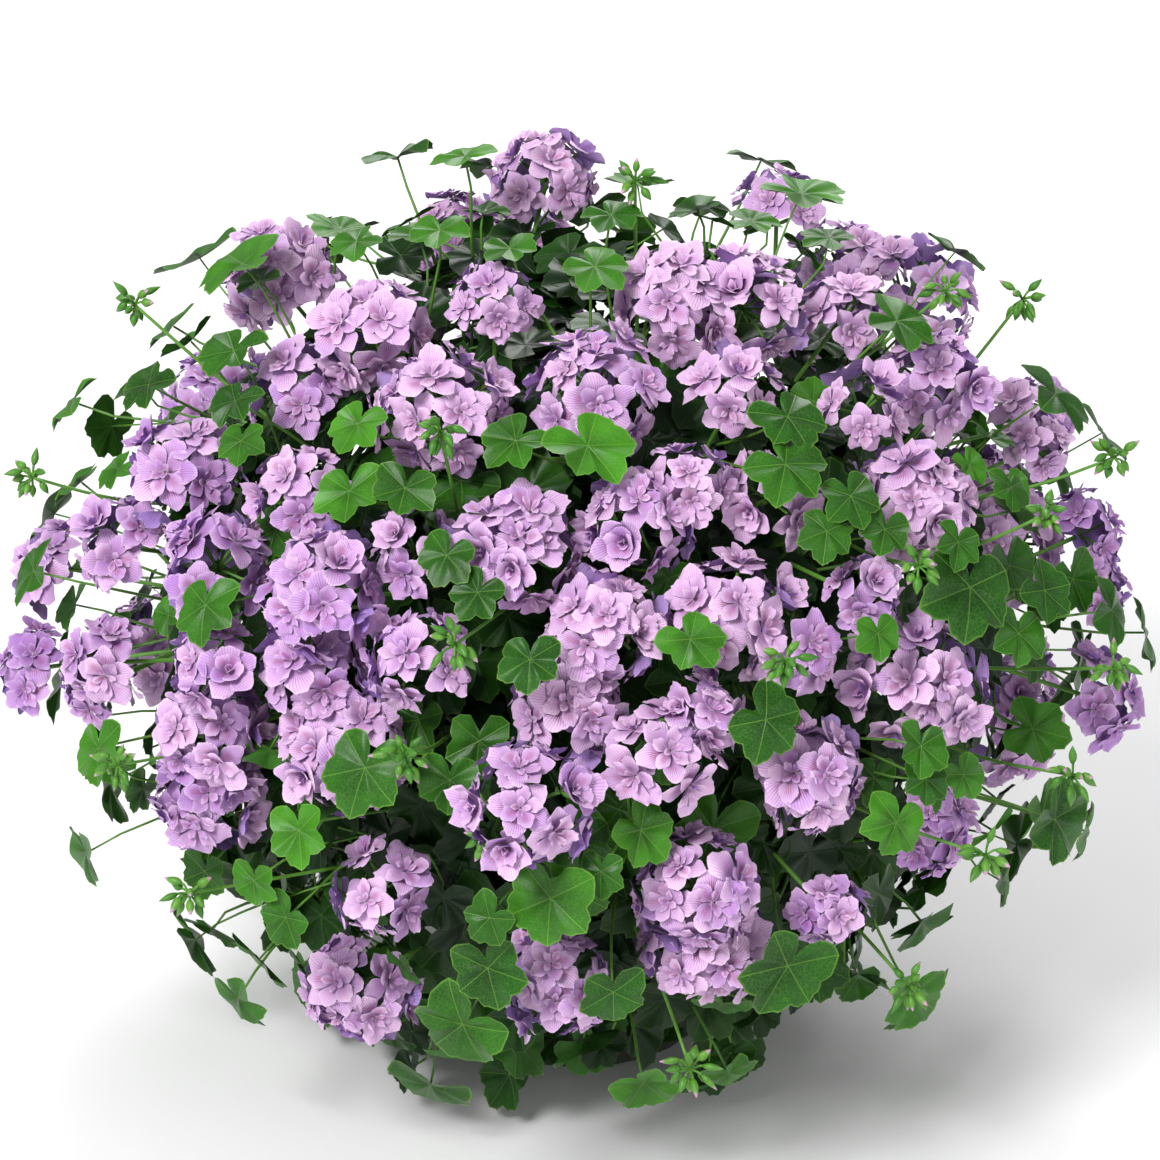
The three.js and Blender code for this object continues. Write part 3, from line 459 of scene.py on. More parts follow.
def umbel(head, others, rng, size):
    """The florets of a head: where each sits, which way it faces and how big it is."""
    radius, hub = head["radius"], head["hub"]
    spacing = FLORET_GAP * size / (0.76 * radius)
    side = side_of(head["axis"])
    across = np.cross(head["axis"], side)
    places = [(rng.uniform(0, 0.2), rng.uniform(0, 6.3))]
    rings = max(1, round(math.radians(100) / spacing))
    for ring in range(1, rings + 1):
        tilt = HEAD_SIDE * ring / rings if rings > 1 else SMALL_HEAD_SIDE
        number = max(4, round(2 * math.pi * math.sin(tilt) / spacing))
        first = rng.uniform(0, 2 * math.pi)
        places += [(tilt, first + 2 * math.pi * i / number) for i in range(number)]
    florets = []
    for tilt, turn in places:
        tilt += rng.uniform(-0.2, 0.16)
        turn += rng.uniform(-0.2, 0.2)
        facing = head["axis"] * math.cos(tilt)
        facing = facing + math.sin(tilt) * (side * math.cos(turn) + across * math.sin(turn))
        middle = hub + facing * radius * rng.uniform(*FLORET_DEPTH)
        if any(np.linalg.norm(middle - o["hub"]) < 0.6 * o["radius"] for o in others):
            continue
        if middle[2] < size + 4 * MM:
            continue
        facing = unit(facing + UP * 0.14 + FRONT * 0.05 + rng.normal(0, 0.16, 3))
        florets.append({"middle": middle, "facing": facing, "size": size * rng.uniform(0.86, 1.12)})
    return florets


def build_head(name, heads, everyone, rng, look):
    """One flower head, or two that have grown into each other, with florets, calyces and pedicels."""
    batch = Batch()
    for head in heads:
        others = [o for o in everyone if o is not head]
        size = float(np.clip(0.6 * head["radius"], 16 * MM, look.floret_radius))
        florets = umbel(head, others, rng, size)
        tone = head_tone_and_shade(head, rng)
        add_florets(batch, florets, rng, tone)
        for floret in florets:
            back = floret["middle"] - floret["facing"] * 0.3 * floret["size"]
            way = back - head["hub"]
            reach = np.linalg.norm(way)
            bend = head["hub"] + unit(way) * reach * 0.45 + UP * rng.uniform(-0.1, 0.12) * reach
            path = bezier(head["hub"], bend, back - floret["facing"] * reach * 0.3, back, 4)
            add_tube(batch, path, np.linspace(*PEDICEL, 5) * MM, 5, (rng.uniform(0, 1), 0, 1), GREEN)
    piece = batch.make(name + "_florets", [material("petals"), material("stalks")])
    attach(piece, "root")
    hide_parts(name)


def head_tone_and_shade(head, rng):
    """How far a head leans from pale pink-lilac to violet: a random tone, plus painted shade that adds more
    at the sides and low down.
    """
    aside = abs(head["hub"][0]) / MOUND[0]
    low = 1 - head["hub"][2] / (MOUND_CENTRE[2] + MOUND[2])
    return float(np.clip(0.1 + 0.4 * aside**2 + 0.35 * low + rng.uniform(-0.15, 0.2), 0, 1))


def add_florets(batch, florets, rng, tone):
    """Petals and sepals of many florets at once."""
    facing = np.array([f["facing"] for f in florets])
    side = np.array([side_of(f) for f in facing])
    across = np.cross(facing, side)
    middle = np.array([f["middle"] for f in florets])
    size = np.array([f["size"] for f in florets])
    half_open = rng.uniform(0, 1, len(florets)) < HALF_OPEN
    own = np.clip(tone + rng.uniform(-0.14, 0.14, len(florets)), 0, 1)
    phase = rng.uniform(0, 2 * math.pi, len(florets))
    for layer, whorl in enumerate([*WHORLS, SEPALS]):
        for k in range(whorl["petals"]):
            turn = phase + (k + 0.5 * (layer % 2)) * 2 * math.pi / whorl["petals"]
            lift = -0.26 if whorl is SEPALS else 0.02 * layer
            origin = middle + facing * (size * lift)[:, None]
            more = 0 if whorl is SEPALS else HALF_OPEN_RISE
            shape = {**whorl, "rise": (whorl["rise"] + half_open * more)[:, None]}
            streak = rng.uniform(0.75, 1.0) if k < 2 else rng.uniform(0, 0.5)
            petal = np.clip(own + rng.uniform(-0.16, 0.16, len(florets)), 0, 1)
            tones = np.stack([petal, np.full(len(florets), streak), np.full(len(florets), layer / 3)], 1)
            finish = GREEN if whorl is SEPALS else PETAL
            petal_shape(batch, rng, (origin, side, across, facing, turn, size), shape, tones, finish)


# Leaves

def leaf_grid(parts, rings):
    """A leaf's outline, the shares of it where its rings lie, its middle fan and its other faces."""
    angles, edge = [], []
    for (a, ra), (b, rb) in zip(LOBES, LOBES[1:] + [(360, 1.0)]):
        for part in range(parts):
            angles.append(math.radians(mix(a, b, part / parts)))
            edge.append(mix(ra, rb, part / parts))
    count = len(angles)
    share = np.linspace(0, 1, rings + 1)[1:]
    k = np.arange(count)
    fan = np.stack([np.zeros(count, int), 1 + k, 1 + (k + 1) % count], 1)
    quads = [
        np.stack([1 + r * count + k, 1 + (r + 1) * count + k, 1 + (r + 1) * count + (k + 1) % count,
                  1 + r * count + (k + 1) % count], 1)
        for r in range(rings - 1)
    ]
    return np.array(angles), np.array(edge), share, fan, np.concatenate(quads)


def add_leaf(batch, leaf, grid, rng, inner_shade):
    """A lobed blade folded along its veins, with a cupped middle and a waved edge."""
    angles, edge, share, fan, quads = grid
    size = leaf["size"]
    across = np.cross(leaf["normal"], leaf["tip"])
    t = share[:, None]
    a = angles[None]
    lobe = 1 + 0.09 * np.sin(a * 2 + rng.uniform(0, 6.3)) * t
    reach = t * edge[None] * lobe
    ridge = 0.5 - 0.5 * np.cos(np.interp(angles, np.radians(FOLDS), np.arange(len(FOLDS)) * math.pi))
    lift = leaf["bowl"] * reach**2
    lift = lift + rng.uniform(0.07, 0.14) * ridge[None] * np.sin(0.55 * math.pi * t)
    lift = lift + rng.uniform(0.02, 0.06) * t**3 * np.sin(a * rng.integers(3, 6) + rng.uniform(0, 6.3))
    lift = lift + rng.uniform(-0.05, 0.2) * t**1.5 * np.abs(np.sin(a))
    x = reach * np.sin(a)
    y = reach * np.cos(a)
    flat = np.concatenate([[[0.5, 0.5]], np.stack([x, y], -1).reshape(-1, 2) * 0.45 + 0.5])
    local = np.stack([x, y, lift], -1).reshape(-1, 3) * size
    basis = np.stack([across, leaf["tip"], leaf["normal"]])
    points = np.concatenate([[leaf["middle"]], leaf["middle"] + local @ basis])
    tone = np.empty((len(points), 3))
    tone[:, 0] = 1 - rng.uniform(0, 1) ** 1.6
    # The second tone value is the leaf's painted shade: darker the further inside the mound it lies.
    tone[:, 1] = inner_shade
    tone[:, 2] = np.append(0, np.repeat(share, len(angles)))
    start = batch.count
    batch.add(points, quads, flat, tone)
    batch.faces.append((fan + start, 0))


def shell_shares(points):
    """How far out each point lies: 1 on the mound's outer shell."""
    return np.linalg.norm((points - MOUND_CENTRE) / MOUND, axis=-1)


def along_profile(share):
    """The distance from the axis and the height at a share of the tangle's outline, and the way it faces."""
    line = np.array(TANGLE) * MM
    steps = np.linalg.norm(np.diff(line, axis=0), axis=1) * (line[1:, 0] + line[:-1, 0])
    run = np.append(0, np.cumsum(steps)) / steps.sum()
    k = min(int(np.searchsorted(run, share, side="right")), len(run) - 1)
    t = (share - run[k - 1]) / (run[k] - run[k - 1])
    way = line[k] - line[k - 1]
    return mix(line[k - 1], line[k], t), unit(np.array([-way[1], way[0]]))


def leaf_at(middle, outward, rng, size, inner_shade):
    """A leaf that looks outwards and up, with its tip hanging."""
    normal = unit(outward + UP * 0.35 + rng.normal(0, 0.36, 3))
    down = -UP + outward * 0.4 + rng.normal(0, 0.5, 3)
    tip = unit(down - (down @ normal) * normal)
    bowl = rng.uniform(-0.16, 0.14)
    return {"middle": middle, "normal": normal, "tip": tip, "size": size, "bowl": bowl, "inner_shade": inner_shade}


@lru_cache(maxsize=1)
def shaded_leaves():
    """The leaves that the solids leave out, close ones and outer ones: over the tangle and inside it, between
    it and the flowers, and in a skirt that hangs round the pot."""
    rng = np.random.default_rng(12)
    settings = bpy.context.scene.plant_leaves
    found = plant()
    heads = [h for group in found["heads"].values() for h in group]
    hubs = np.array([h["hub"] for h in heads])
    radii = np.array([h["radius"] for h in heads])
    marks = np.concatenate([hubs, np.array([leaf["middle"] for leaf in found["leaves"]])])
    ways = unit((marks - MOUND_CENTRE) / MOUND)
    shares = shell_shares(marks)
    golden = math.pi * (3 - math.sqrt(5))
    close, outer = [], []

    def around_axis(turn, radius, height):
        return np.array([radius * math.cos(turn), radius * math.sin(turn), height])

    def grow(leaves, middle, outward, size, inner_shade):
        gap = np.linalg.norm(hubs - middle, axis=1) - 0.8 * radii
        if gap.min() > 0.25 * size and middle[2] > size * 0.8 + 5 * MM:
            leaves.append(leaf_at(middle, outward, rng, size, inner_shade))

    # The last value given to grow is a leaf's painted shade: the close leaves and the heart leaves are
    # darkest.
    for i in range(settings.close_count):
        (radius, height), way = along_profile((i + 0.5) / settings.close_count)
        turn = i * golden
        outward = around_axis(turn, way[0], way[1])
        middle = around_axis(turn, radius, height) + outward * rng.uniform(0, 22) * MM
        grow(close, middle, outward, rng.uniform(*CLOSE_LEAVES) * MM, rng.uniform(0.6, 0.97))
    for i in range(settings.heart_count):
        (radius, height), way = along_profile(HEART_PART * (i + 0.5) / settings.heart_count)
        turn = i * golden
        middle = around_axis(turn, radius * HEART_PART, height - HEART_DROP)
        grow(close, middle, around_axis(turn, way[0], way[1]), rng.uniform(*HEART_LEAVES) * MM, 1.0)
    for i in range(settings.outer_count):
        height = mix(0.97, -0.75, (i + 0.5) / settings.outer_count)
        level = math.sqrt(1 - height * height)
        way = around_axis(i * golden, level, height)
        near = (ways @ way).argsort()[-4:]
        local = min(shares[near].mean(), 0.97)
        share = local * rng.uniform(0.74, 0.97)
        outward = unit(way / MOUND)
        # Painted shade: an outer leaf is darker the further in from the shell it lies.
        inner_shade = 0.95 * (1 - smooth(0.78, 1.0, share / local))
        grow(outer, MOUND_CENTRE + way * MOUND * share, outward, rng.uniform(*OUTER_LEAVES) * MM, inner_shade)
    for i in range(settings.skirt_count):
        turn = i * golden
        height = mix(*SKIRT_HEIGHTS, rng.uniform()) * MM
        radius = rng.uniform(*SKIRT_RADII) * MM
        outward = around_axis(turn, 1.0, -0.1)
        middle = around_axis(turn, radius, height)
        grow(outer, middle, outward, rng.uniform(*OUTER_LEAVES) * MM, rng.uniform(0.3, 0.9))
    return close, outer


def build_leaves():
    """The leaf blades, in a piece for the outer ones and a piece for the close ones."""
    rng = np.random.default_rng(5)
    fine, coarse = leaf_grid(2, 5), leaf_grid(1, 3)
    close, outer = shaded_leaves()
    batch = Batch()
    for leaf in plant()["leaves"]:
        share = float(shell_shares(leaf["middle"]))
        # Painted shade on the solids' leaves: darker the further in from the shell they lie.
        add_leaf(batch, leaf, fine, rng, 0.35 * (1 - smooth(0.6, 0.9, share)))
    for leaf in outer:
        add_leaf(batch, leaf, coarse, rng, leaf["inner_shade"])
    finish_foliage(batch.make("outer_leaves", [material("leaves")]))
    batch = Batch()
    for leaf in close:
        add_leaf(batch, leaf, coarse, rng, leaf["inner_shade"])
    finish_foliage(batch.make("close_leaves", [material("leaves")]))


def finish_foliage(piece):
    """Stands a piece in for the solid of the leafy stems."""
    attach(piece, "root")
    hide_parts("leafy_stems")


# Stems

def stem_tree(feet, roots):
    """Joins every root to a foot by way of other roots: the parent of each, and how many each one carries."""
    points = np.concatenate([feet, roots])
    parent = [-1] * len(points)
    run = [0.0] * len(feet) + [math.inf] * len(roots)
    middle = np.mean(feet, 0)
    order = np.linalg.norm(roots - middle, axis=1).argsort() + len(feet)
    done = list(range(len(feet)))
    for i in order:
        gaps = np.linalg.norm(points[done] - points[i], axis=1)
        cost = gaps + 0.55 * np.array([run[j] for j in done])
        best = int(cost.argmin())
        parent[i] = done[best]
        run[i] = run[done[best]] + gaps[best]
        done.append(int(i))
    load = [1] * len(points)
    for i in order[::-1]:
        load[parent[i]] += load[i]
    return points, parent, load


def build_stems():
    """Boughs from the compost to the outer shoots, leaf stalks and flower stalks, in one piece."""
    batch = Batch()
    rng = np.random.default_rng(9)
    found = plant()
    feet = np.array([np.append(f[:2], FOOT_TOP) for f in found["feet"]])
    roots = [leaf["root"] for leaf in found["leaves"]] + [s[-1] for s in found["stalks"]]
    roots += [b["root"] for b in found["buds"]]
    points, parent, load = stem_tree(feet, np.array(roots))
    for foot, top in zip(found["feet"], feet):
        low = np.append(foot[:2], FOOT_LOW)
        add_tube(batch, np.linspace(low, top + UP * 4 * MM, 4), THICKEST_STEM * MM, 10, (0.9, 0.6, 0))
    for i, p in enumerate(parent):
        if p < 0:
            continue
        start, end = points[p], points[i]
        length = np.linalg.norm(end - start)
        before = unit(start - points[parent[p]]) if parent[p] >= 0 else UP
        outward = unit((end - MOUND_CENTRE) / MOUND)
        path = bezier(start, start + before * length * 0.35, end - outward * length * 0.3, end, 6)
        thick = [min(THICKEST_STEM, THINNEST_STEM * load[j] ** STEM_GROWTH) * MM for j in (p, i)]
        woody = smooth(1, 12, load[i])
        add_tube(batch, path, np.linspace(thick[0] * 0.85, thick[1], 7), 7, (rng.uniform(0, 1), woody, 0))
    for path in found["stalks"]:
        foot, root = path[0], path[-1]
        if len(path) == 3:
            line = bezier(foot, mix(foot, path[1], 0.9), mix(path[1], root, 0.3), root, 9)
        else:
            line = bezier(foot, mix(foot, root, 0.35), mix(foot, root, 0.7), root, 6)
        add_tube(batch, line, np.linspace(*FLOWER_STALK, len(line)) * MM, 7, (rng.uniform(0, 1), 0, 1))
    for bud in found["buds"]:
        line = bezier(bud["hub"], mix(bud["hub"], bud["bend"], 0.8), bud["bend"], bud["root"], 10)
        add_tube(batch, line, np.linspace(*BUD_STALK, len(line)) * MM, 6, (rng.uniform(0, 1), 0, 1))
    for leaf in found["leaves"]:
        add_petiole(batch, leaf, leaf["root"], rng)
    nodes = points[len(feet):]
    for leaf in itertools.chain(*shaded_leaves()):
        inward = unit(MOUND_CENTRE - leaf["middle"])
        ways = nodes - leaf["middle"]
        gaps = np.linalg.norm(ways, axis=1)
        cost = gaps * (1.3 - 0.6 * (ways @ inward) / gaps)
        add_petiole(batch, leaf, nodes[cost.argmin()], rng)
    finish_foliage(batch.make("stems_and_stalks", [material("stalks")]))


def add_petiole(batch, leaf, root, rng):
    """A leaf's stalk, from the underside of its blade to its root."""
    start = leaf["middle"] - leaf["normal"] * 0.2 * MM
    length = np.linalg.norm(root - start)
    leave = unit(-leaf["normal"] - leaf["tip"] * 0.3)
    sag = rng.normal(0, 0.05, 3) * length
    line = bezier(start, start + leave * length * 0.3, mix(start, root, 0.65) + sag, root, 4)
    add_tube(batch, line, np.linspace(*PETIOLE, 5) * MM, 4, (rng.uniform(0, 1), 0.1, 1))


# Buds

def add_bud(batch, base, way, length, thick, tone):
    """A pointed bud, widest below its middle. Its tone says how ripe it is."""
    rows, sides = 7, 7
    t = np.linspace(0, 1, rows)
    girth = np.sin(math.pi * t**0.72) ** 0.85 * (1 - 0.15 * t)
    girth[0], girth[-1] = 0.35, 0.05
    path = base + np.outer(t * length, way)
    tones = np.zeros((rows * sides + 2, 3))
    tones[:, 0] = tone
    tones[:, 1] = np.append(np.repeat(t, sides), [0, 1])
    add_tube(batch, path, girth * thick, sides, tones)


def add_buds(batch, hub, ways, lengths, rng):
    """Drooping buds on pedicels that spread from one point."""
    for way, full in zip(ways, lengths):
        droop = unit(way - UP * rng.uniform(0.1, 0.8))
        knee = hub + way * full * 0.42
        path = bezier(hub, hub + way * full * 0.2, knee - droop * full * 0.12, knee, 4)
        add_tube(batch, path, np.linspace(*BUD_PEDICEL, 5) * MM, 5, (rng.uniform(0, 1), 0, 0))
        length = rng.uniform(0.55, 0.66) * full
        thick = rng.uniform(*BUD_RADII) * MM
        add_bud(batch, knee, droop, length, thick, rng.uniform(0, 1))


def build_buds():
    """The clusters of green buds, each on its pedicel round the top of its stalk."""
    batch = Batch()
    rng = np.random.default_rng(21)
    for cluster in plant()["buds"]:
        lengths = list(np.linalg.norm(cluster["ways"], axis=1) * 1.08)
        ways = list(unit(cluster["ways"]))
        for _ in range(60):
            way = unit(rng.normal(0, 1, 3) + ways[rng.integers(0, 4)] * 0.9)
            if len(ways) < BUDS_EACH and max(way @ w for w in ways) < 0.88:
                ways.append(way)
                lengths.append(np.mean(lengths[:4]) * rng.uniform(0.75, 1.05))
        add_buds(batch, cluster["hub"], ways, lengths, rng)
    finish_foliage(batch.make("bud_clusters", [material("buds")]))


# Pot and compost

def finish_solid(node):
    """Gives a solid that is kept as it is its material."""
    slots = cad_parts[node].data.materials
    slots.clear()
    slots.append(material(node))


def build_crumbs():
    """Loose crumbs of bark and peat on the compost."""
    batch = Batch()
    rng = np.random.default_rng(31)
    low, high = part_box("compost")
    radius = (high[0] - low[0]) / 2 - 6 * MM
    octahedron = np.array([[1, 0, 0], [-1, 0, 0], [0, 1, 0], [0, -1, 0], [0, 0, 1], [0, 0, -1]], float)
    faces = np.array([[0, 2, 4], [2, 1, 4], [1, 3, 4], [3, 0, 4], [2, 0, 5], [1, 2, 5], [3, 1, 5], [0, 3, 5]])
    for _ in range(CRUMBS):
        r = radius * math.sqrt(rng.uniform())
        turn = rng.uniform(0, 2 * math.pi)
        top = high[2] - SOIL_CROWN * (r / radius) ** 1.5
        size = rng.uniform(*CRUMB_SIZES) * MM
        shape = octahedron * rng.uniform(0.5, 1.2, (6, 3)) * size * [1.2, 1.0, 0.6]
        spin = rng.uniform(0, 2 * math.pi)
        cos, sin = math.cos(spin), math.sin(spin)
        shape = shape @ np.array([[cos, sin, 0], [-sin, cos, 0], [0, 0, 1]])
        place = [r * math.cos(turn), r * math.sin(turn), min(top, high[2] - 2.4 * MM)]
        batch.add(shape + place, faces, np.zeros((6, 2)), (rng.uniform(0, 1), 0, 0))
    piece = batch.make("compost_crumbs", [material("compost")])
    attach(piece, "root")


# Materials

class Nodes:
    """Adds nodes to a shader tree and links them."""

    def __init__(self, tree):
        self.tree = tree

    def add(self, kind, inputs=None, **settings):
        node = self.tree.nodes.new("ShaderNode" + kind)
        for key, value in settings.items():
            setattr(node, key, value)
        for key, value in (inputs or {}).items():
            self.feed(node.inputs[key], value)
        return node

    def feed(self, socket, value):
        """Links a socket to another or gives it a value. Colours are opaque."""
        if isinstance(value, bpy.types.NodeSocket):
            self.tree.links.new(value, socket)
        elif socket.type == "RGBA":
            socket.default_value = (*value, 1.0)
        else:
            socket.default_value = value

    def math(self, operation, a, b=0.0):
        return self.add("Math", {0: a, 1: b}, operation=operation).outputs[0]

    def plus(self, a, b):
        return self.math("ADD", a, b)

    def minus(self, a, b):
        return self.math("SUBTRACT", a, b)

    def times(self, a, b):
        return self.math("MULTIPLY", a, b)

    def step(self, value, low, high, to_low=0.0, to_high=1.0):
        """Runs smoothly from to_low at low to to_high at high."""
        ends = {0: value, 1: low, 2: high, 3: to_low, 4: to_high}
        return self.add("MapRange", ends, interpolation_type="SMOOTHSTEP").outputs[0]

    def mix(self, share, a, b):
        """The colour at a share of the way from a to b."""
        node = self.add("Mix", data_type="RGBA")
        self.feed(node.inputs[0], share)
        self.feed(node.inputs[6], a)
        self.feed(node.inputs[7], b)
        return node.outputs[2]

    def noise(self, scale, detail, roughness=0.55):
        inputs = {"Scale": scale, "Detail": detail, "Roughness": roughness, "Vector": self.object_place()}
        return self.add("TexNoise", inputs).outputs[0]

    def split(self, vector):
        return self.add("SeparateXYZ", {0: vector}).outputs

    def tone(self):
        """The three values that the mesh carries for its colour."""
        return self.split(self.add("Attribute", attribute_name="tone").outputs["Vector"])

    def flat(self):
        """The place on the petal, leaf or stalk."""
        return self.split(self.add("UVMap", uv_map="flat").outputs[0])

    def object_place(self):
        return self.add("TexCoord").outputs["Object"]


def mottle():
    """A node group, shared by all the materials, that makes a colour uneven and gives a height to match."""
    if "mottle" in bpy.data.node_groups:
        return bpy.data.node_groups["mottle"]
    group = bpy.data.node_groups.new("mottle", "ShaderNodeTree")
    sockets = [("Colour", "NodeSocketColor"), ("Scale", "NodeSocketFloat"), ("Amount", "NodeSocketFloat")]
    for name, kind in sockets:
        group.interface.new_socket(name, in_out="INPUT", socket_type=kind)
    group.interface.new_socket("Colour", in_out="OUTPUT", socket_type="NodeSocketColor")
    group.interface.new_socket("Height", in_out="OUTPUT", socket_type="NodeSocketFloat")
    n = Nodes(group)
    given = group.nodes.new("NodeGroupInput").outputs
    result = group.nodes.new("NodeGroupOutput").inputs
    height = n.noise(given["Scale"], 3.0)
    swing = n.times(n.minus(height, 0.5), given["Amount"])
    colour = n.add("HueSaturation", {"Color": given["Colour"], "Value": n.plus(1.0, swing)})
    group.links.new(colour.outputs[0], result["Colour"])
    group.links.new(height, result["Height"])
    return group


def new_material(name, roughness, gloss=0.5):
    """A material with its shader, and the node maker of its tree."""
    made = bpy.data.materials.new(name)
    made.use_nodes = True
    shader = made.node_tree.nodes["Principled BSDF"]
    shader.inputs["Roughness"].default_value = roughness
    shader.inputs["Specular IOR Level"].default_value = gloss
    return made, Nodes(made.node_tree), shader


def finish_material(n, shader, colour, height, strength, distance):
    """Feeds the colour and the relief to the shader."""
    n.feed(shader.inputs["Base Color"], colour)
    bump = n.add("Bump", {"Strength": strength, "Distance": distance, "Height": height})
    n.feed(shader.inputs["Normal"], bump.outputs[0])


def mottled(n, colour, scale, amount):
    """The colour and the height that the mottle group gives."""
    node = n.tree.nodes.new("ShaderNodeGroup")
    node.node_tree = mottle()
    n.feed(node.inputs["Colour"], colour)
    n.feed(node.inputs["Scale"], scale)
    n.feed(node.inputs["Amount"], amount)
    return node.outputs


def petal_material():
    """Lilac petals with fine veins, painted highlights along their edges, a pale heart with crimson streaks
    and bluer backs.
    """
    look = bpy.context.scene.plant_flowers
    made, n, shader = new_material("petals", roughness=0.46, gloss=0.3)
    u, v = n.flat()[:2]
    tone, streak, layer = n.tone()[:3]
    across = n.minus(u, 0.5)
    aside = n.math("ABSOLUTE", across)
    fan = n.math("DIVIDE", across, n.plus(v, 0.3))
    waver = n.noise(70.0, 0.0)
    lines = n.math("SINE", n.plus(n.times(fan, 34.0), n.times(waver, 4.0)))
    veins = n.step(n.math("ABSOLUTE", lines), 0.7, 0.0)
    # Painted highlight: a pale band along a petal's sides and tip, in the heart's colour.
    rim = n.math("MAXIMUM", n.step(aside, 0.34, 0.5), n.step(v, 0.84, 1.0))
    drift = n.minus(n.noise(38.0, 1.0), 0.5)
    deep = n.plus(tone, n.times(drift, 0.8))
    colour = n.mix(n.step(deep, 0.0, 1.0), look.pale, look.deep)
    colour = n.mix(n.step(v, 0.25, 0.75, 0.35, 0.0), colour, look.rim)
    colour = n.mix(n.times(rim, 0.35), colour, look.heart)
    colour = n.mix(n.step(v, 0.3, 0.05, 0.0, 0.6), colour, look.heart)
    colour = n.mix(n.times(veins, n.step(v, 1.0, 0.35, 0.12, 0.6)), colour, look.vein)
    reach = n.step(layer, 0.0, 0.6, 0.66, 0.9)
    near = n.times(n.step(n.minus(v, reach), 0.04, -0.2), n.step(aside, 0.34, 0.05))
    near = n.times(near, n.step(streak, 0.3, 0.8, 0.3, 1.0))
    crimson = n.times(near, n.step(veins, 0.15, 0.6, 0.2, 1.0))
    colour = n.mix(crimson, colour, look.streak)
    back = n.add("NewGeometry").outputs["Backfacing"]
    colour = n.mix(n.times(back, 0.6), colour, look.back)
    colour = mottled(n, colour, scale=60.0, amount=0.3)[0]
    relief = n.times(veins, -1.0)
    finish_material(n, shader, colour, relief, strength=0.5, distance=0.6 * MM)
    return made


def vein_distance(n, x, y):
    """How far a point of the blade is from the nearest of the main veins, which run out to the lobes."""
    nearest = None
    for degrees in MAIN_VEINS:
        a = math.radians(degrees)
        off = n.minus(n.times(x, math.cos(a)), n.times(y, math.sin(a)))
        along = n.plus(n.times(x, math.sin(a)), n.times(y, math.cos(a)))
        behind = n.times(along, -1.0)
        distance = n.math("MAXIMUM", n.math("ABSOLUTE", off), behind)
        nearest = distance if nearest is None else n.math("MINIMUM", nearest, distance)
    return nearest


def leaf_material():
    """Ivy leaves: fresh green outside and darkened with painted shade inside the mound, with paler veins and
    a thin pale edge.
    """
    look = bpy.context.scene.plant_leaves
    made, n, shader = new_material("leaves", roughness=0.4, gloss=0.24)
    u, v = n.flat()[:2]
    tone, inner_shade, ring = n.tone()[:3]
    x = n.minus(u, 0.5)
    y = n.minus(v, 0.5)
    veins = n.step(vein_distance(n, x, y), 0.009, 0.0)
    net = n.add("TexVoronoi", {"Scale": 30.0, "Vector": n.add("UVMap", uv_map="flat").outputs[0]},
                feature="DISTANCE_TO_EDGE").outputs[0]
    small = n.step(net, 0.09, 0.0)
    colour = n.mix(tone, look.fresh, look.mature)
    # Painted shade: uneven darker patches over the blade, and a darker middle where the blade cups, both
    # mixed towards the painted shade colour.
    shade = n.step(n.noise(28.0, 2.0), 0.35, 0.75, 0.0, 0.5)
    colour = n.mix(shade, colour, look.painted_shade)
    colour = n.mix(n.step(ring, 0.1, 0.7, 0.35, 0.0), colour, look.painted_shade)
    # Painted shade: leaves inside the mound are darkened towards the shade colour, and their veins fade.
    colour = n.mix(inner_shade, colour, look.painted_shade)
    pale = n.times(n.minus(1.0, n.times(inner_shade, 0.9)), 0.42)
    colour = n.mix(n.times(veins, pale), colour, look.vein)
    colour = n.mix(n.times(small, n.times(pale, 0.4)), colour, look.vein)
    colour = n.mix(n.times(n.step(ring, 0.94, 1.0), pale), colour, look.vein)
    back = n.add("NewGeometry").outputs["Backfacing"]
    colour = n.mix(n.times(back, 0.35), colour, look.back)
    colour, height = mottled(n, colour, scale=35.0, amount=0.7)[:2]
    relief = n.minus(n.times(height, 0.3), veins)
    finish_material(n, shader, colour, relief, strength=0.4, distance=0.7 * MM)
    return made


def stalk_material():
    """Green stalks, browner where the stem is woody."""
    look = bpy.context.scene.plant_stems
    made, n, shader = new_material("stalks", roughness=0.5)
    tone, woody, young = n.tone()[:3]
    colour = n.mix(young, look.old, look.young)
    colour = n.mix(n.times(woody, 0.8), colour, look.bark)
    colour = n.mix(n.times(tone, 0.3), colour, look.old)
    colour, height = mottled(n, colour, scale=120.0, amount=0.6)[:2]
    finish_material(n, shader, colour, height, strength=0.4, distance=0.5 * MM)
    return made


def bud_material():
    """Green buds with the petals' colour at their tips."""
    made, n, shader = new_material("buds", roughness=0.48)
    tone, along = n.tone()[:2]
    colour = n.mix(tone, (0.045, 0.19, 0.012), (0.12, 0.32, 0.03))
    ripe = n.step(tone, 0.45, 0.75)
    colour = n.mix(n.times(n.step(along, 0.68, 0.9), ripe), colour, (0.6, 0.3, 0.5))
    stripes = n.step(n.noise(400.0, 2.0), 0.5, 0.7)
    colour = n.mix(n.times(stripes, 0.3), colour, (0.03, 0.13, 0.015))
    colour, height = mottled(n, colour, scale=150.0, amount=0.5)[:2]
    finish_material(n, shader, colour, height, strength=0.4, distance=0.4 * MM)
    return made


